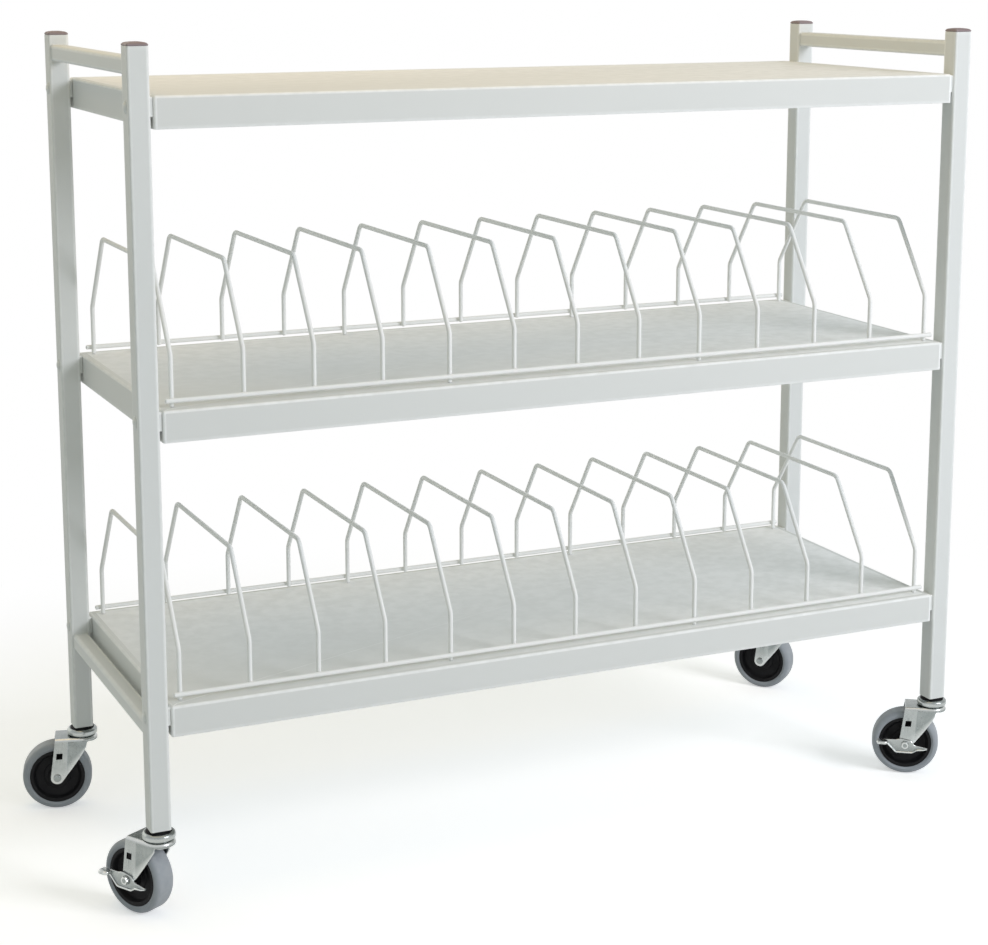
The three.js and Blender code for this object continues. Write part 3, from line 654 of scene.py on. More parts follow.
@dataclass
class EndFrame:
    """Two posts with caps, the handle bar and the end rail of one end, with their welds and shelf bolts."""

    side: Side
    shop: PaintShop
    post: float = 28.0
    corner: float = 3.0
    wall: float = 1.5
    ease: float = 0.5
    bore: float = 46.0
    rim_depth: float = 3.0
    rim_wear: float = 6.0
    tube_corner: float = 4.0
    weld: float = 1.3
    pad_width: float = 21.6
    pad_height: float = 25.0
    pad_thickness: float = 3.7
    pad_corner: float = 2.0
    pad_drop: float = 1.5
    bolt_drop: float = 14.0
    bolt_radius: float = 6.2
    bolt_height: float = 2.3
    bolt_turn: float = 1.35
    bolt_highlight: float = 0.8
    washer_radius: float = 8.2
    washer_height: float = 0.7
    cap_edge: float = 2.2
    cap_height: float = 5.0
    cap_turn: float = 1.45
    cap_draw: float = 11.5
    cap_gap: float = 0.3
    plug_depth: float = 14.0
    body: str = "frame"

    def build(self) -> None:
        """Builds and dresses every piece of this end."""
        for bar in ("handle", "end_rail"):
            self.cross_tube(f"{bar}_{self.side.value}")
        for row in Row:
            self.upright(f"{row.value}_{self.side.value}")

    def middle(self, low: np.ndarray, high: np.ndarray) -> np.ndarray:
        """Plan of a post's axis, taken from its outer face so that the pads don't count."""
        x = low[0] + self.post / 2 if self.side is Side.LEFT else high[0] - self.post / 2
        return np.array([x, (low[1] + high[1]) / 2])

    def upright(self, name: str) -> None:
        """Post as a square tube with eased rims and a closed bore, its pads, bolts and cap.

        Args:
            name: front or back and left or right, as in the post's node.
        """
        low, high = corners(f"post_{name}")
        x, y = self.middle(low, high)
        base, top = low[2], high[2]
        wall, ease = self.wall, self.ease
        rows = [
            (wall, base + self.bore, 0.0), (wall, base + ease, 0.0), (wall - ease, base, 0.6),
            (ease, base, 0.9), (0.0, base + ease, 0.6), (0.0, base + self.rim_wear, 0.0),
            (0.0, top - self.rim_wear, 0.0), (0.0, top - ease, 0.6), (ease, top, 0.8), (wall, top, 0.0),
            (wall, top - self.rim_depth, 0.0),
        ]
        skins = [carried(Place.along(Axis.Z, (x, y, 0.0)), self.post, self.post, self.corner, rows)]
        for tier in ("top", "middle", "bottom"):
            skins += self.shelf_joint(x, y, corners(f"shelf_{tier}")[1][2])
        self.shop.piece(f"painted_post_{name}", skins, Slot.FRAME, self.body, [f"post_{name}"])
        self.cap(name, x, y, top)

    def shelf_joint(self, x: float, y: float, shelf: float) -> list[Skin]:
        """Welded pad on the post's inner face, and the bolt's washer and round head on its outer face.

        Args:
            x: post's axis along the rack.
            y: post's axis across the rack.
            shelf: height of the shelf's surface.

        Returns:
            The pad, the washer and the bolt head.
        """
        inward = Place.along(Axis.X, (x, y, shelf - self.pad_drop - self.pad_height / 2))
        outward = Place.along(Axis.X, (x, y, shelf - self.bolt_drop))
        wide, tall = self.pad_width, self.pad_height
        if self.side is Side.RIGHT:
            inward = inward.flipped()
            wide, tall = tall, wide
        else:
            outward = outward.flipped()
        face, ease, sunk = self.post / 2, self.ease, 0.3
        thick = face + self.pad_thickness
        rows = [(0.0, face - ease, 0.0), (0.0, thick - ease, 0.3), (ease, thick, 0.3)]
        pad = carried(inward, wide, tall, self.pad_corner, rows)
        edge, neck, seat = self.washer_radius, self.bolt_radius - 0.4, face + self.washer_height
        disc = bent([(edge - 0.4, face - sunk), (edge, face - sunk), (edge, seat), (neck, seat)], 0.25, 2)
        turn = np.linspace(0, self.bolt_turn, 8)
        head = np.stack([self.bolt_radius * np.cos(turn), seat + self.bolt_height * np.sin(turn)], axis=-1)
        head = np.concatenate([[[self.bolt_radius, face - 0.2]], head])
        # Painted highlight: the bolt head is lightened all over towards the frame's edge colour.
        highlight_and_wear = np.full(len(head), self.bolt_highlight)
        return [pad, revolved(outward, disc, 28), revolved(outward, head, 28, wear_and_highlight=highlight_and_wear)]

    def cap(self, name: str, x: float, y: float, top: float) -> None:
        """Cap: a short plug, an upright edge and a low dome that rises as part of an ellipse.

        Args:
            name: front or back and left or right, as in the cap's node.
            x: post's axis along the rack.
            y: post's axis across the rack.
            top: height of the tube's upper end.
        """
        seat = top + self.cap_gap
        edge = seat + self.cap_edge
        turn = np.linspace(0, self.cap_turn, 7)
        inset = 1.0 + self.cap_draw * (1 - np.cos(turn)) / (1 - math.cos(self.cap_turn))
        height = edge + (self.cap_height - self.cap_edge) * np.sin(turn) / math.sin(self.cap_turn)
        wear_and_highlight = 0.5 * (1 - turn / self.cap_turn)
        rows = [(3.2, top - self.plug_depth, 0.0), (1.9, top - self.plug_depth + 5.0, 0.0), (1.9, seat, 0.0),
                (0.3, seat, 0.3), (0.0, seat + 0.3, 0.3), (0.0, edge - 0.6, 0.4), (0.3, edge - 0.1, 0.9),
                *zip(inset, height, wear_and_highlight)]
        skin = carried(Place.along(Axis.Z, (x, y, 0.0)), self.post, self.post, self.corner, rows)
        self.shop.piece(f"moulded_cap_{name}", [skin], Slot.CAP, self.body, [f"cap_{name}"])

    def cross_tube(self, node: str) -> None:
        """Bar between the two posts: a rounded square carried along Y, with a weld bead round each end.

        Args:
            node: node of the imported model.
        """
        low, high = corners(node)
        x, z = (low[[0, 2]] + high[[0, 2]]) / 2
        size, corner = high[2] - low[2], self.tube_corner
        rows = [(0.0, low[1] - 0.2, 0.0), (0.0, high[1] + 0.2, 0.0)]
        near = Place.along(Axis.Y, (x, low[1] - 0.3, z))
        far = Place.along(Axis.Y, (x, high[1] + 0.3, z)).flipped()
        skins = [carried(Place.along(Axis.Y, (x, 0.0, z)), size, size, corner, rows)]
        skins += [bead(spot, size, size, corner, self.weld) for spot in (near, far)]
        self.shop.piece(f"painted_{node}", skins, Slot.FRAME, self.body, [node])


@dataclass
class Shelf:
    """Folded sheet shelf: a flat top, a bend all round and a flange with an eased lower edge."""

    tier: str
    shop: PaintShop
    sheet: float = 1.5
    bend: float = 4.0
    corner: float = 3.0
    lip_wear: float = 5.0
    fold_highlight_fade: float = 3.0
    rim: float = 9.0
    body: str = "frame"

    def build(self) -> None:
        """Carries the shelf's outline through the fold: underside, inner bend, flange, outer bend, top."""
        low, high = corners(f"shelf_{self.tier}")
        width, depth = high[:2] - low[:2]
        base, top, bend = low[2], high[2], self.bend
        turn, half = np.linspace(0, math.pi / 2, 7), np.linspace(0, math.pi, 6)
        inner, edge, heart = bend - self.sheet, self.sheet / 2, top - bend
        under = [(bend - inner * math.cos(t), heart + inner * math.sin(t), 0.0) for t in turn[::-1]]
        lip = [(edge + edge * math.cos(t), base + edge - edge * math.sin(t), 0.6) for t in half]
        # Painted highlight along the fold's outer bend, strongest halfway round it, in the shelf's pale edge
        # colour.
        fold = [(bend * (1 - math.cos(t)), heart + bend * math.sin(t), math.sin(2 * t) ** 0.5) for t in turn]
        flange = [(0.0, base + self.lip_wear, 0.0), (0.0, heart - self.fold_highlight_fade, 0.0)]
        place = Place.along(Axis.Z, (*(low[:2] + high[:2]) / 2, 0.0))
        rows = [*under, *lip, *flange, *fold, (self.rim, top, 0.0)]
        skin = carried(place, width, depth, self.corner, rows)
        self.shop.piece(f"folded_shelf_{self.tier}", [skin], Slot.SHELF, self.body, [f"shelf_{self.tier}"])


@dataclass
class DividerRack:
    """Wire rack of one tier: two long rods, the hoops that stand on the shelf and the hoops between them."""

    tier: str
    shop: PaintShop
    slots: int = 12
    foot_spacing: int = 4
    radius: float = 3.175
    leg_height: float = 68.0
    slant: float = 73.0
    bend: float = 14.0
    end_hoop: float = 10.0
    weld_bite: float = 0.6
    weld_reach: tuple[float, float, float] = (3.5, 1.5, 3.4)
    body: str = "frame"

    def build(self) -> None:
        """Builds the carrier with its footed hoops, then every hoop between them."""
        carrier, radius = f"{self.tier}_rack_carrier", self.radius
        low, high = corners(carrier)
        shelf = corners(f"shelf_{self.tier}")[1][2]
        self.rods = (low[1] + radius, high[1] - radius)
        self.rod_height = height = corners(f"{self.tier}_divider_02")[0][2] + radius
        places = np.linspace(low[0] + self.end_hoop, high[0] - self.end_hoop, self.slots + 1)
        rods = [np.linspace((low[0], y, height), (high[0], y, height), 40) for y in self.rods]
        skins = [wire(rod, radius, (0, 1, 0)) for rod in rods]
        inset = 2 * radius - self.weld_bite
        legs = (self.rods[0] + inset, self.rods[1] - inset)
        for number, x in enumerate(places):
            if number % self.foot_spacing == 0:
                skins += self.hoop(x, legs, low[2], high[2] - radius, shelf)
                continue
            node = f"{self.tier}_divider_{number + 1:02d}"
            near, far = corners(node)
            hoop = self.hoop(x, (near[1] + radius, far[1] - radius), near[2], far[2] - radius, shelf)
            self.shop.piece(f"wire_{node}", hoop, Slot.WIRE, self.body, [node])
        self.shop.piece(f"wire_{carrier}", skins, Slot.WIRE, self.body, [carrier])

    def hoop(self, x: float, legs: tuple[float, float], foot: float, top: float, shelf: float) -> list[Skin]:
        """Hoop across the shelf: a wire up one leg, in along the slant, over the top and down again.

        Args:
            x: place along the rack.
            legs: Y of the front and the back leg's centre.
            foot: height of the legs' lower ends.
            top: height of the top wire's centre.
            shelf: height of the shelf's surface.

        Returns:
            The wire, and a weld nugget where each leg meets its rod.
        """
        front, back = legs
        shoulder = shelf + self.leg_height
        route = [(x, front, foot), (x, front, shoulder), (x, front + self.slant, top),
                 (x, back - self.slant, top), (x, back, shoulder), (x, back, foot)]
        joints = [(leg + rod) / 2 for leg, rod in zip(legs, self.rods)]
        welds = [nugget((x, y, self.rod_height), self.weld_reach) for y in joints]
        return [wire(bent(route, self.bend, 9), self.radius, (1, 0, 0)), *welds]


@dataclass
class Caster:
    """Swivel caster: stem housing, drawn fork with its raceway, axle bolt, hub, tyre, and a brake or none."""

    name: str
    shop: PaintShop
    brake: bool
    axle_height: float = 50.8
    tread: float = 31.75
    bore: float = 39.8
    rim: float = 29.0
    race: float = 21.9
    inner_race: float = 17.5
    lower_race: float = 1.4
    upper_race: float = 9.0
    gap: float = 0.3
    collar: float = 2.8
    stem: float = 24.4
    stem_length: float = 42.0
    stem_corner: float = 1.5
    # Height above the raceway ring's foot of its painted highlight band, and the band's half width
    highlight_band: float = 3.3
    sheet: float = 3.0
    fork_inner: float = 18.675
    fork_bend: float = 5.0
    crown: float = 110.0
    lip: float = 7.0
    knee_front: float = 7.0
    knee_drop: float = 15.0
    back_lean: float = 8.0
    fork_end: float = 9.5
    ease: float = 0.5
    recess: float = 3.2
    panel_step: float = 1.3
    panel: float = 24.0
    panel_ramp: float = 1.2
    panel_highlight: float = 0.35
    window: float = 9.0
    window_rise: float = 33.0
    window_shift: float = 4.0
    bolt: float = 5.0
    nut: float = 10.4
    nut_height: float = 4.4
    dome: float = 5.6
    dome_height: float = 1.9
    hub_web: float = 6.5
    shoulder: float = 43.0
    shoulder_bend: float = 7.2
    lever_sheet: float = 2.5
    lever_rim: float = 6.0
    lever_nose: float = -33.6
    lever_tip: float = 42.4
    pedal_reach: float = 34.5
    pedal_out: float = 7.0
    pedal_size: tuple[float, float, float] = (17.0, 13.6, 5.2)

    def build(self) -> None:
        """Finds the caster's two axes in the record's joints, then builds and dresses its pieces."""
        joints = {joint["name"]: np.array(joint["pos_m"]) / MM for joint in frame["joints"]}
        pivot, hub = joints[f"{self.name}_swivel_turn"], joints[f"{self.name}_wheel_roll"]
        arm = hub[:2] - pivot[:2]
        self.trail = float(np.linalg.norm(arm))
        ahead = np.array([*arm / self.trail, 0.0])
        up = np.array([0.0, 0.0, 1.0])
        axle = np.cross(up, ahead)
        floor_gap = 0.02
        self.radius = hub[2] - floor_gap
        self.upright = Place(np.array([*pivot[:2], hub[2] - self.axle_height]), np.stack([ahead, axle, up]))
        self.across = Place(hub, np.stack([up, ahead, axle]))
        self.fork_outer = self.fork_inner + self.sheet
        self.housing()
        self.fork()
        self.axle()
        self.wheel()
        if self.brake:
            self.lever()

    def hang(self, look: str, part: str, skins: list[Skin], slot: Slot, body: str) -> None:
        """Makes a piece of the caster that moves.

        Args:
            look: first word of the piece's name.
            part: part that it is, as in its node's name.
            skins: surfaces of the piece.
            slot: finish of the piece.
            body: last word of its body's name.
        """
        name, node = f"{look}_{self.name}_{part}", f"caster_{self.name}_{part}"
        self.shop.piece(name, skins, slot, f"{self.name}_{body}", [node])

    def housing(self) -> None:
        """Fixed raceway turned from a rounded profile, the square stem in the post, and a black collar under
        the post that stands partly for a plastic flange and partly for painted shade in the gap there.
        """
        low = self.crown + self.lower_race + self.gap
        high = low + self.upper_race
        seat = high + self.collar
        route = [(10.0, low), (self.race, low), (self.race, high), (8.0, high), (8.0, high + 0.4)]
        profile = bent(route, [1.8, 4.2, 0.3], 6)
        # Painted highlight: a bright band round the ring's outer wall, peaking at that height and fading over
        # as much again.
        away = np.abs(profile[:, 1] - low - self.highlight_band) / self.highlight_band
        highlight_band = np.clip(1 - away, 0, 1) * (profile[:, 0] > self.race - 2.0)
        post, top = Place(self.upright.origin, np.eye(3)), seat + self.stem_length
        rows = [(0.0, seat, 0.0), (0.0, top - 2.0, 0.0), (self.stem_corner, top, 0.0)]
        stem = carried(post, self.stem, self.stem, self.stem_corner, rows)
        skins = [revolved(self.upright, profile, 56, wear_and_highlight=highlight_band), stem]
        node = f"caster_{self.name}_stem_housing"
        self.shop.piece(f"zinc_{self.name}_housing", skins, Slot.ZINC, "frame", [node])
        # Painted shade: the black ring fills the gap under the post's end, where it falls into shade, and
        # stands for the stem socket's flange as well.
        foot, step = high + 0.05, high + 0.9
        inner, neck, brim = 9.0, 14.0, 17.4
        route = [(inner, foot), (brim, foot), (brim, step), (neck, step), (neck, seat), (inner, seat)]
        ring = revolved(self.upright, bent(route, 0.3, 3), 48)
        self.shop.piece(f"shade_black_{self.name}_collar", [ring], Slot.HUB, "frame")

    def lower_edge(self) -> np.ndarray:
        """Lower edge of the fork's wall: a lip, a quadratic curve, a line tangent to the end, and its arc.

        Returns:
            Places along the trail and heights, from the front to the back.
        """
        lip = self.crown - self.lip
        knee = np.array([-self.knee_front, self.crown - self.knee_drop])
        start = np.array([-self.fork_outer + self.lip, lip])
        t = np.linspace(0, 1, 12)[:, None]
        curve = (1 - t) ** 2 * start + 2 * t * (1 - t) * np.array([knee[0], lip]) + t ** 2 * knee
        axle = np.array([self.trail, self.axle_height])
        reach = knee - axle
        first = math.atan2(reach[1], reach[0]) + math.acos(self.fork_end / np.linalg.norm(reach))
        turn = np.linspace(first, 2 * math.pi, 22)[:, None]
        arc = axle + self.fork_end * np.concatenate([np.cos(turn), np.sin(turn)], axis=1)
        return np.concatenate([[[-self.fork_outer, lip]], curve, arc])

    def rise(self, height: np.ndarray) -> np.ndarray:
        """Share of the way from the axle up to the crown, held between 0 and 1."""
        return np.clip((height - self.axle_height) / (self.crown - self.axle_height), 0, 1)

    def wall_section(self, along: np.ndarray, low: np.ndarray, pinch: np.ndarray,
                     sides: np.ndarray) -> list[np.ndarray]:
        """Section of the fork's sheet at each station: over the crown, round its bend, down and back inside.

        Args:
            along: place of each station along the trail.
            low: height of the wall's lower edge at each station.
            pinch: how far the section is drawn in all round at each station.
            sides: places of the window's front and back edge along the trail.

        Returns:
            Distance inwards from the outer wall, height and painted highlight, each stations by columns.
        """
        ease, fade = self.ease, 0.8
        shelf = self.crown - self.fork_bend - 1.0
        base = low + ease
        foot = np.interp(np.clip(along, *sides), along, base)
        sill = self.axle_height + self.window_rise - self.window / 2
        head = sill + self.window
        levels = np.array([head + 7.0, head, sill, sill - 14.0])
        share = (levels - foot[:, None]) / (shelf - foot[:, None])
        wall = np.concatenate([np.full((len(along), 2), (shelf + fade, shelf)),
                               base[:, None] + share * (shelf - base)[:, None], base[:, None]], axis=1)
        turn = np.linspace(0, math.pi / 2, 8)
        inner = self.fork_bend - self.sheet
        top, heart = self.crown, self.crown - self.fork_bend
        edge = np.array([0.3, 1.0, self.sheet / ease - 1.0, self.sheet / ease - 0.3]) * ease
        flat = np.ones(wall.shape[1])
        inset = np.concatenate([[self.fork_outer], self.fork_bend * (1 - np.sin(turn)), 0 * flat, edge,
                                self.sheet * flat, self.fork_bend - inner * np.cos(turn), [self.fork_outer]])
        crown = np.concatenate([[top], heart + self.fork_bend * np.cos(turn)])
        under = np.concatenate([heart + inner * np.sin(turn), [top - self.sheet]])
        rim = low[:, None] + ease * np.array([0.3, 0.0, 0.0, 0.3])
        height = np.concatenate([np.tile(crown, (len(along), 1)), wall, rim, wall[:, ::-1],
                                 np.tile(under, (len(along), 1))], axis=1)
        out = np.concatenate([[0.0], -np.sin(turn), -flat, [-0.7, 0, 0, 0.7], flat, np.cos(turn), [0.0]])
        up = np.concatenate([[1.0], np.cos(turn), 0 * flat, [-0.7, -1, -1, -0.7], 0 * flat,
                             -np.sin(turn), [-1.0]])
        # Painted highlight on the crown's shoulder bend and along the sheet's cut lower edge.
        wear_and_highlight = np.concatenate([[0.0], 0.9 * np.sin(2 * turn), 0 * flat[1:], np.ones(len(edge) + 2),
                               0 * flat[1:], 0 * turn, [0.0]])
        swept = np.clip((self.panel - along) / (self.panel + self.knee_front), 0, 1)
        ramp = self.panel_ramp
        step = self.panel_step * (1 - smooth((along - self.panel + ramp) / (2 * ramp)))
        sunk = (self.recess * swept ** 2 + step) * smooth((along + 15.0) / 6.0)
        sunk = sunk[:, None] * (1 - smooth((height - shelf) / fade))
        # Painted highlight: the flat rear panel is made paler than the gusset ahead of it.
        plate = self.panel_highlight * smooth((along - self.panel) / ramp)[:, None] * (inset < 0.01)
        # Painted highlight along the pinched back end.
        wear_and_highlight = np.maximum(np.maximum(wear_and_highlight, plate), (pinch > 0)[:, None] * 0.9)
        return [inset + sunk - pinch[:, None] * out, height - pinch[:, None] * up, wear_and_highlight]

    def fork(self) -> None:
        """Fork: the sheet's section carried along two straight sides and a half circle about the swivel axis.

        Its stations lean with the leg's back edge. The square window is left out of both faces of each leg,
        and closed with its own walls.
        """
        # Columns that the window follows: its top on the outer face and its sill on the inner one
        outer_top, inner_sill = 12, 22
        edge = self.lower_edge()
        lean = self.back_lean / (self.trail + self.fork_end)
        places = np.where(edge[:, 0] < 0, edge[:, 0], edge[:, 0] / (1 - lean * self.rise(edge[:, 1])))
        middle = self.trail - self.window_shift
        slope = 1 - lean * self.rise(np.array(self.axle_height + self.window_rise))
        sides = np.array([middle - self.window / 2, middle + self.window / 2]) / slope
        front = -self.fork_outer * np.sin(np.linspace(0.1, math.pi / 2, 12))
        step = self.panel + np.linspace(-self.panel_ramp, self.panel_ramp, 4)
        extra = [front, sides, step, np.linspace(0, 20, 6), places[-1:] - self.ease]
        along = np.unique(np.round(np.concatenate([places, *extra]), 6))
        low = np.interp(along, places, edge[:, 1])
        pinch = np.where(along > places[-1] - self.ease / 2, self.ease, 0.0)
        inset, height, wear_and_highlight = self.wall_section(along, low, pinch, sides)
        drawn = 1 - inset / self.fork_outer
        half = np.sqrt(self.fork_outer ** 2 - np.minimum(along, 0) ** 2)[:, None] * drawn
        deep = along[:, None] * np.where(along[:, None] < 0, drawn, 1 - lean * self.rise(height))
        legs = [np.stack([deep, half, height], -1)[::-1], np.stack([deep, -half, height], -1)[1:]]
        points = self.upright.put(np.concatenate(legs))
        kept = np.ones((len(points) - 1, points.shape[1]), bool)
        kept[:, -1] = False
        near, far = np.searchsorted(along, sides - 1e-3)
        last = len(along) - 1
        walls = []
        for span in (slice(last - far, last - near + 1), slice(last + near, last + far + 1)):
            kept[span.start:span.stop - 1, [outer_top, inner_sill]] = False
            outer = np.concatenate([points[span, outer_top + 1], points[span, outer_top][::-1]])
            inner = np.concatenate([points[span, inner_sill], points[span, inner_sill + 1][::-1]])
            ring = np.stack([outer, inner])
            walls.append(Skin(ring, np.zeros(ring.shape[:2]), ends=False))
        race, base, top = self.inner_race, self.crown - 0.5, self.crown + self.lower_race
        disc = bent([(12.0, base), (race, base), (race, top), (12.0, top)], 0.3, 3)
        wear_and_highlight = np.concatenate([wear_and_highlight[::-1], wear_and_highlight[1:]])
        skins = [Skin(points, wear_and_highlight, kept=kept), *walls, revolved(self.upright, disc, 48)]
        self.hang("zinc", "fork", skins, Slot.ZINC, "swivel")

    def axle(self) -> None:
        """Axle bolt: a shank with a low dome at each end, or a hexagon on a washer where it holds a brake."""
        room = self.lever_sheet + self.gap if self.brake else 0.0
        near = self.fork_outer + self.gap
        shank = np.array([(self.bolt, -self.fork_outer), (self.bolt, self.fork_outer + room)])
        skins = [revolved(self.across, shank, 24)]
        for place, seat in ((self.across.flipped(), near), (self.across, near + room)):
            skins += self.hexagon(place, seat) if self.brake else [self.round_end(place, seat)]
        self.hang("zinc", "axle", skins, Slot.ZINC, "swivel")

    def round_end(self, place: Place, seat: float) -> Skin:
        """Low dome on a short upright edge, at a distance from the wheel's middle."""
        turn = np.linspace(0, 1.3, 8)
        dome = np.stack([self.dome * np.cos(turn), seat + 0.5 + self.dome_height * np.sin(turn)], -1)
        return revolved(place, np.concatenate([[[self.dome, seat]], dome]), 30)

    def hexagon(self, place: Place, seat: float) -> list[Skin]:
        """Washer, chamfered hexagon and the bolt's end in it, at a distance from the wheel's middle."""
        top, face = seat + self.nut_height, seat + 0.9
        peak, chamfer = self.nut / 2 / math.cos(math.pi / 6), top - 0.4
        washer = bent([(5.0, seat), (6.1, seat), (6.1, face), (5.0, face)], 0.3, 2)
        body = np.array([(peak, face), (peak, top - 1.2), (peak - 0.9, chamfer), (3.6, chamfer)])
        end = bent([(3.2, seat), (3.2, top), (2.0, top)], 0.7, 3)
        # Painted highlight: the whole hexagon takes the zinc's pale edge colour.
        nut = revolved(place, body, 48, flats=self.nut, wear_and_highlight=np.ones(4))
        return [revolved(place, washer, 30), nut, revolved(place, end, 20)]

    def wheel(self) -> None:
        """Hub with a long boss, a stepped web and a wide rim, and a tyre with rounded shoulders."""
        boss, web = self.fork_inner - 1.2, self.hub_web
        seat, wide = self.rim / 2, self.tread / 2
        rim, bore = self.bore - self.gap, self.bolt + 0.4
        half = [(bore, boss), (12.0, boss), (13.2, 9.0), (19.0, 8.0), (20.0, web), (30.3, web), (32.0, 8.0),
                (34.3, seat - 1.0), (35.4, seat), (rim, seat)]
        lower = [(radius, -height) for radius, height in half]
        route = np.array([(bore, 0.0), *lower, *half[::-1], (bore, 0.1)])
        fillets = np.array([0.5, 1.0, 2.0, 1.0, 0.7, 1.4, 0.8, 0.8, 0.5, 0.3])
        profile = bent(route, np.concatenate([fillets, fillets[::-1]]), 4)
        edge = np.clip((profile[:, 0] - 33.8) / 2.0, 0, 1) * 0.7
        skin = revolved(self.across, profile, 64, loop=True, wear_and_highlight=edge)
        self.hang("moulded", "hub", [skin], Slot.HUB, "wheel")
        bore, wall, bend = self.bore, self.shoulder, self.shoulder_bend
        route = [(bore, 0.0), (bore, -seat), (wall, -wide), (self.radius, -wide), (self.radius, wide),
                 (wall, wide), (bore, seat), (bore, 0.1)]
        profile = bent(route, [0.4, 1.6, bend, bend, 1.6, 0.4], 8)
        tread = np.clip((profile[:, 0] - self.radius + 2.0) / 1.6, 0, 1)
        skin = revolved(self.across, profile, 80, loop=True, wear_and_highlight=tread)
        self.hang("rubber", "tyre", [skin], Slot.TYRE, "wheel")

    def lever(self) -> None:
        """Foot brake: an angle section carried from nose to tip between a lower and an upper bent line.

        The angle's foot narrows as a square root towards the nose and the tip. The pedal is a rounded block.
        """
        nose, tip = self.lever_nose, self.lever_tip
        route = [(nose, -6.2), (-18.0, -8.0), (-11.0, -12.3), (14.0, -12.3), (27.0, 0.8), (tip, 3.4)]
        floor = bent(route, 6.0, 8)
        route = [(nose, -3.8), (-15.0, -0.6), (-9.0, 6.0), (8.0, 9.2), (14.0, 7.4), (tip, 6.8)]
        brow = bent(route, 4.0, 6)
        x = np.linspace(nose, tip, 58)
        low = np.interp(x, floor[:, 0], floor[:, 1])
        high = np.interp(x, brow[:, 0], brow[:, 1])
        rim = self.lever_rim * np.clip(np.minimum(x - nose + 0.4, tip + 3.0 - x) / 6.0, 0.15, 1) ** 0.5
        thick = np.minimum(self.lever_sheet, 0.45 * (high - low))
        sheet = np.full_like(x, self.lever_sheet)
        ease = 0.25 * thick
        nook, brink = np.maximum(rim - ease, sheet + 0.4), np.maximum(rim, sheet + 0.6)
        inside = np.minimum(low + thick + 1.8, high - ease)
        back, chamfer = 0 * x, 0 * x + self.ease
        out = [chamfer, nook, brink, brink, nook, sheet + 0.8, sheet, sheet, sheet - self.ease,
               chamfer, back, back]
        rise = [low, low, low + ease, low + thick - ease, low + thick, low + thick, inside, high - ease, high,
                high, high - self.ease, low + self.ease]
        seat = self.fork_outer + self.gap + 0.05
        place = np.broadcast_to(x[:, None], (len(x), len(rise)))
        local = np.stack([np.stack(rise, -1), place, np.stack(out, -1) + seat], -1)
        # Painted highlights along the lever's bends and edges, in the zinc's pale edge colour.
        edge = np.array([0.5, 0.8, 1, 1, 0.8, 0, 0, 0.4, 1, 0.8, 0.2, 0.2])
        # The section runs in the place's third and first directions, so the columns turn about its second
        tray = Skin(self.across.put(local), np.broadcast_to(edge, local.shape[:2]))
        up, ahead, axle = self.across.axes
        origin = self.across.origin + self.pedal_reach * ahead + (seat + self.pedal_out) * axle
        # The third value of each pedal row is a painted highlight on its rims.
        rows = [(1.6, 2.0, 0.2), (0.5, 2.5, 0.4), (0.0, 3.6, 0.6), (0.0, 5.2, 0.6), (0.6, 6.4, 0.9),
                (1.8, 7.0, 0.5)]
        pedal = carried(Place(origin, np.stack([ahead, axle, up])), *self.pedal_size, rows)
        self.hang("zinc", "brake_lever", [tray, pedal], Slot.ZINC, "brake")


class LampKind(Enum):
    """Far lamps light from one direction, and near lamps are squares of a size."""

    FAR = "SUN"
    NEAR = "AREA"


@dataclass(frozen=True)
class Lamp:
    """Soft lamp that is turned to a point above the floor's middle.

    Attributes:
        name: name of the lamp.
        kind: far or near.
        place: where it hangs in metres, or for a far lamp the direction to it.
        power: power in watts, or for a far lamp its strength.
        colour: colour of its light.
        breadth: side in metres, or for a far lamp its angle in degrees.
        aim_height: height of the point that it is turned to.
    """

    name: str
    kind: LampKind
    place: tuple[float, float, float]
    power: float
    colour: Colour
    breadth: float
    aim_height: float

    def build(self) -> None:
        """Hangs the lamp and turns it."""
        light = bpy.data.lights.new(self.name, self.kind.value)
        light.energy = self.power
        light.color = self.colour
        if self.kind is LampKind.FAR:
            light.angle = math.radians(self.breadth)
        else:
            light.size = self.breadth
        made = bpy.data.objects.new(self.name, light)
        made.location = self.place
        x, y, z = self.place
        tilt = math.atan2(math.hypot(x, y), z - self.aim_height)
        made.rotation_euler = (tilt, 0.0, math.atan2(y, x) + math.pi / 2)
        bpy.context.scene.collection.objects.link(made)


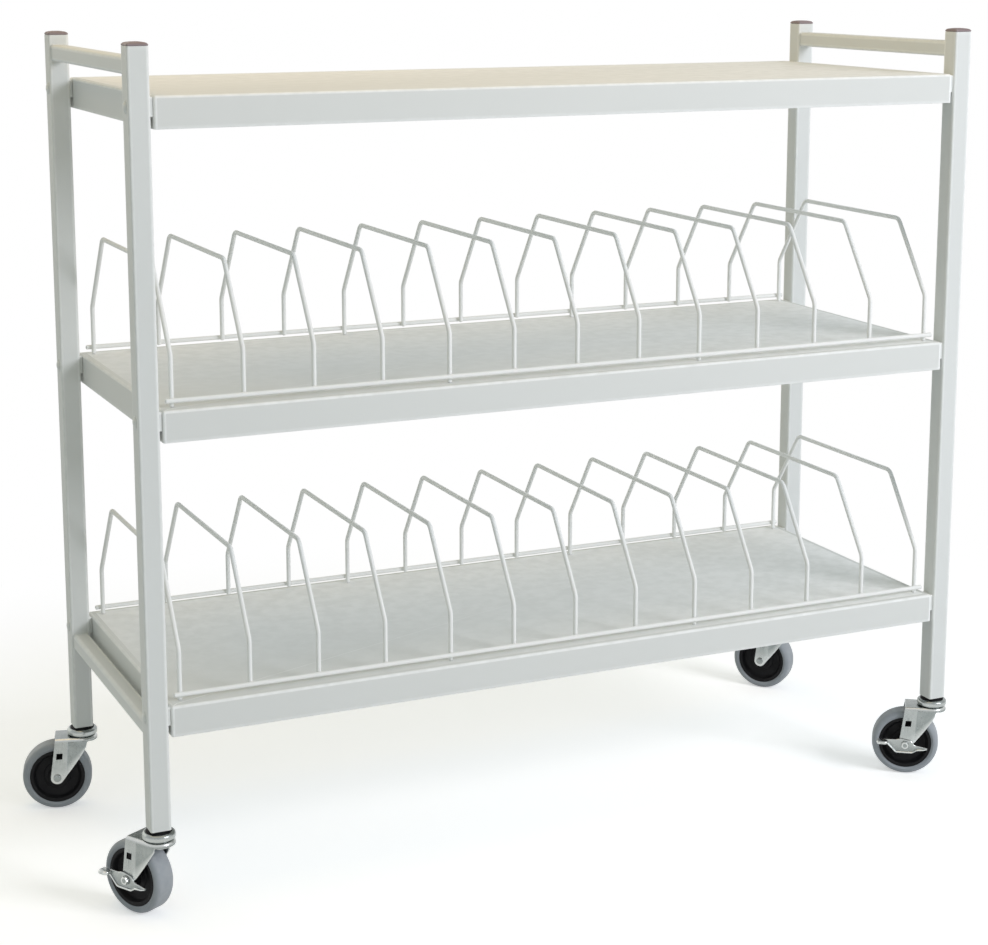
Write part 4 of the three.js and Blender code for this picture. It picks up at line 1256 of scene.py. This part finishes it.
@dataclass
class Studio:
    """Pale floor, white surroundings, soft lamps and the camera."""

    floor_size: float = 60.0
    floor_tone: float = 0.80
    floor_glow: float = 0.40
    shadow_tone: float = 0.95
    shadow_reach: tuple[float, float] = (1.8, 1.4)
    shadow_fade: float = 0.6
    ambient: Colour = (0.345, 0.395, 0.40)
    stand: tuple[float, float, float] = (-659.7, -2526.3, 1235.1)
    yaw: float = 24.41
    pitch: float = 10.59
    sensor: float = 36.0
    focal_pixels: float = 2114.9
    shift_y: float = -0.12
    lamps: tuple[Lamp, ...] = (
        Lamp("back_left", LampKind.FAR, (-0.6, 1.0, 0.25), 0.6, (1.0, 0.94, 0.80), 60.0, 0.0),
        Lamp("above", LampKind.NEAR, (-0.4, 0.05, 2.25), 7.8, (1.0, 0.58, 0.05), 2.0, 0.6),
        Lamp("front_right", LampKind.NEAR, (2.4, -3.6, 2.4), 120.0, (0.94, 0.935, 1.0), 1.8, 0.6),
    )

    def build(self) -> None:
        """Sets the colour transform and builds the surroundings, the floor, the lamps and the camera."""
        bpy.context.scene.view_settings.view_transform = "Standard"
        self.world()
        self.floor()
        for lamp in self.lamps:
            lamp.build()
        self.camera()

    def seen(self, board: NodeBoard) -> Socket:
        """Factor that is 1 for what the camera sees directly, in a mirror or through glass."""
        rays = board.add("LightPath").outputs
        total = board.combine("MAXIMUM", rays["Is Camera Ray"], rays["Is Glossy Ray"])
        return board.combine("MAXIMUM", total, rays["Is Transmission Ray"])

    def near(self, board: NodeBoard) -> Socket:
        """Factor that is 1 round the floor's middle and fades to 0 at the shadow's reach."""
        wide, deep = self.shadow_reach
        fade = board.add("TexGradient", board.mapped((1 / wide, 1 / deep, 1.0)))
        fade.gradient_type = "SPHERICAL"
        ramp = board.add("MapRange", fade.outputs["Fac"], From_Max=self.shadow_fade)
        ramp.interpolation_type = "SMOOTHSTEP"
        return ramp.outputs["Result"]

    def world(self) -> None:
        """White where it is seen, and a plain even light otherwise."""
        world = bpy.data.worlds.new("white_room")
        board = NodeBoard(world)
        light = board.tree.nodes["Background"]
        light.inputs["Color"].default_value = (*self.ambient, 1.0)
        white = board.add("Background", Color=(1.0, 1.0, 1.0, 1.0))
        mix = board.add("MixShader", self.seen(board), light.outputs[0], white.outputs[0])
        board.join(mix.outputs[0], board.tree.nodes["World Output"].inputs["Surface"])
        bpy.context.scene.world = world

    def floor(self) -> None:
        """Flat pale floor that looks white where it is seen and keeps the shadow.

        Round the rack it is a glow plus a matt share that the shadow darkens, and further out plain white.
        """
        half = self.floor_size / 2
        mesh = bpy.data.meshes.new("floor")
        square = [(-half, -half, 0.0), (half, -half, 0.0), (half, half, 0.0), (-half, half, 0.0)]
        mesh.from_pydata(square, [], [(0, 1, 2, 3)])
        material = bpy.data.materials.new("floor_white")
        board = NodeBoard(material)
        plain = board.add("BsdfDiffuse", Color=(*[self.floor_tone] * 3, 1.0))
        shaded = board.add("BsdfDiffuse", Color=(*[self.shadow_tone] * 3, 1.0))
        glow = board.add("Emission", Strength=self.floor_glow)
        white = board.add("Emission")
        both = board.add("AddShader", shaded.outputs[0], glow.outputs[0])
        look = board.add("MixShader", self.near(board), white.outputs[0], both.outputs[0])
        mix = board.add("MixShader", self.seen(board), plain.outputs[0], look.outputs[0])
        board.join(mix.outputs[0], board.tree.nodes["Material Output"].inputs["Surface"])
        mesh.materials.append(material)
        made = bpy.data.objects.new("floor", mesh)
        bpy.context.scene.collection.objects.link(made)

    def camera(self) -> None:
        """Camera at the photograph's angle, stood off from the front left post's lower corner."""
        lens = bpy.data.cameras.new("camera")
        lens.sensor_width = self.sensor
        lens.lens = self.focal_pixels / PHOTO_WIDTH * self.sensor
        lens.shift_y = self.shift_y
        post, _ = corners("post_front_left")
        made = bpy.data.objects.new("camera", lens)
        made.location = tuple((np.array([*post[:2], 0.0]) + self.stand) * MM)
        made.rotation_euler = (math.radians(90 - self.pitch), 0.0, math.radians(-self.yaw))
        bpy.context.scene.collection.objects.link(made)
        bpy.context.scene.camera = made


def main() -> None:
    """Builds the rack's sub-assemblies in order."""
    logging.basicConfig(level=logging.INFO, format="%(message)s")
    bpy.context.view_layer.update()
    shop = PaintShop()
    for side in Side:
        EndFrame(side, shop).build()
    for tier in ("top", "middle", "bottom"):
        Shelf(tier, shop).build()
    for tier in ("middle", "bottom"):
        DividerRack(tier, shop).build()
    for row in Row:
        for side in Side:
            Caster(f"{row.value}_{side.value}", shop, brake=row is Row.FRONT).build()
    Studio().build()
    LOG.info("%d pieces", shop.count)


if __name__ == "__main__":
    main()
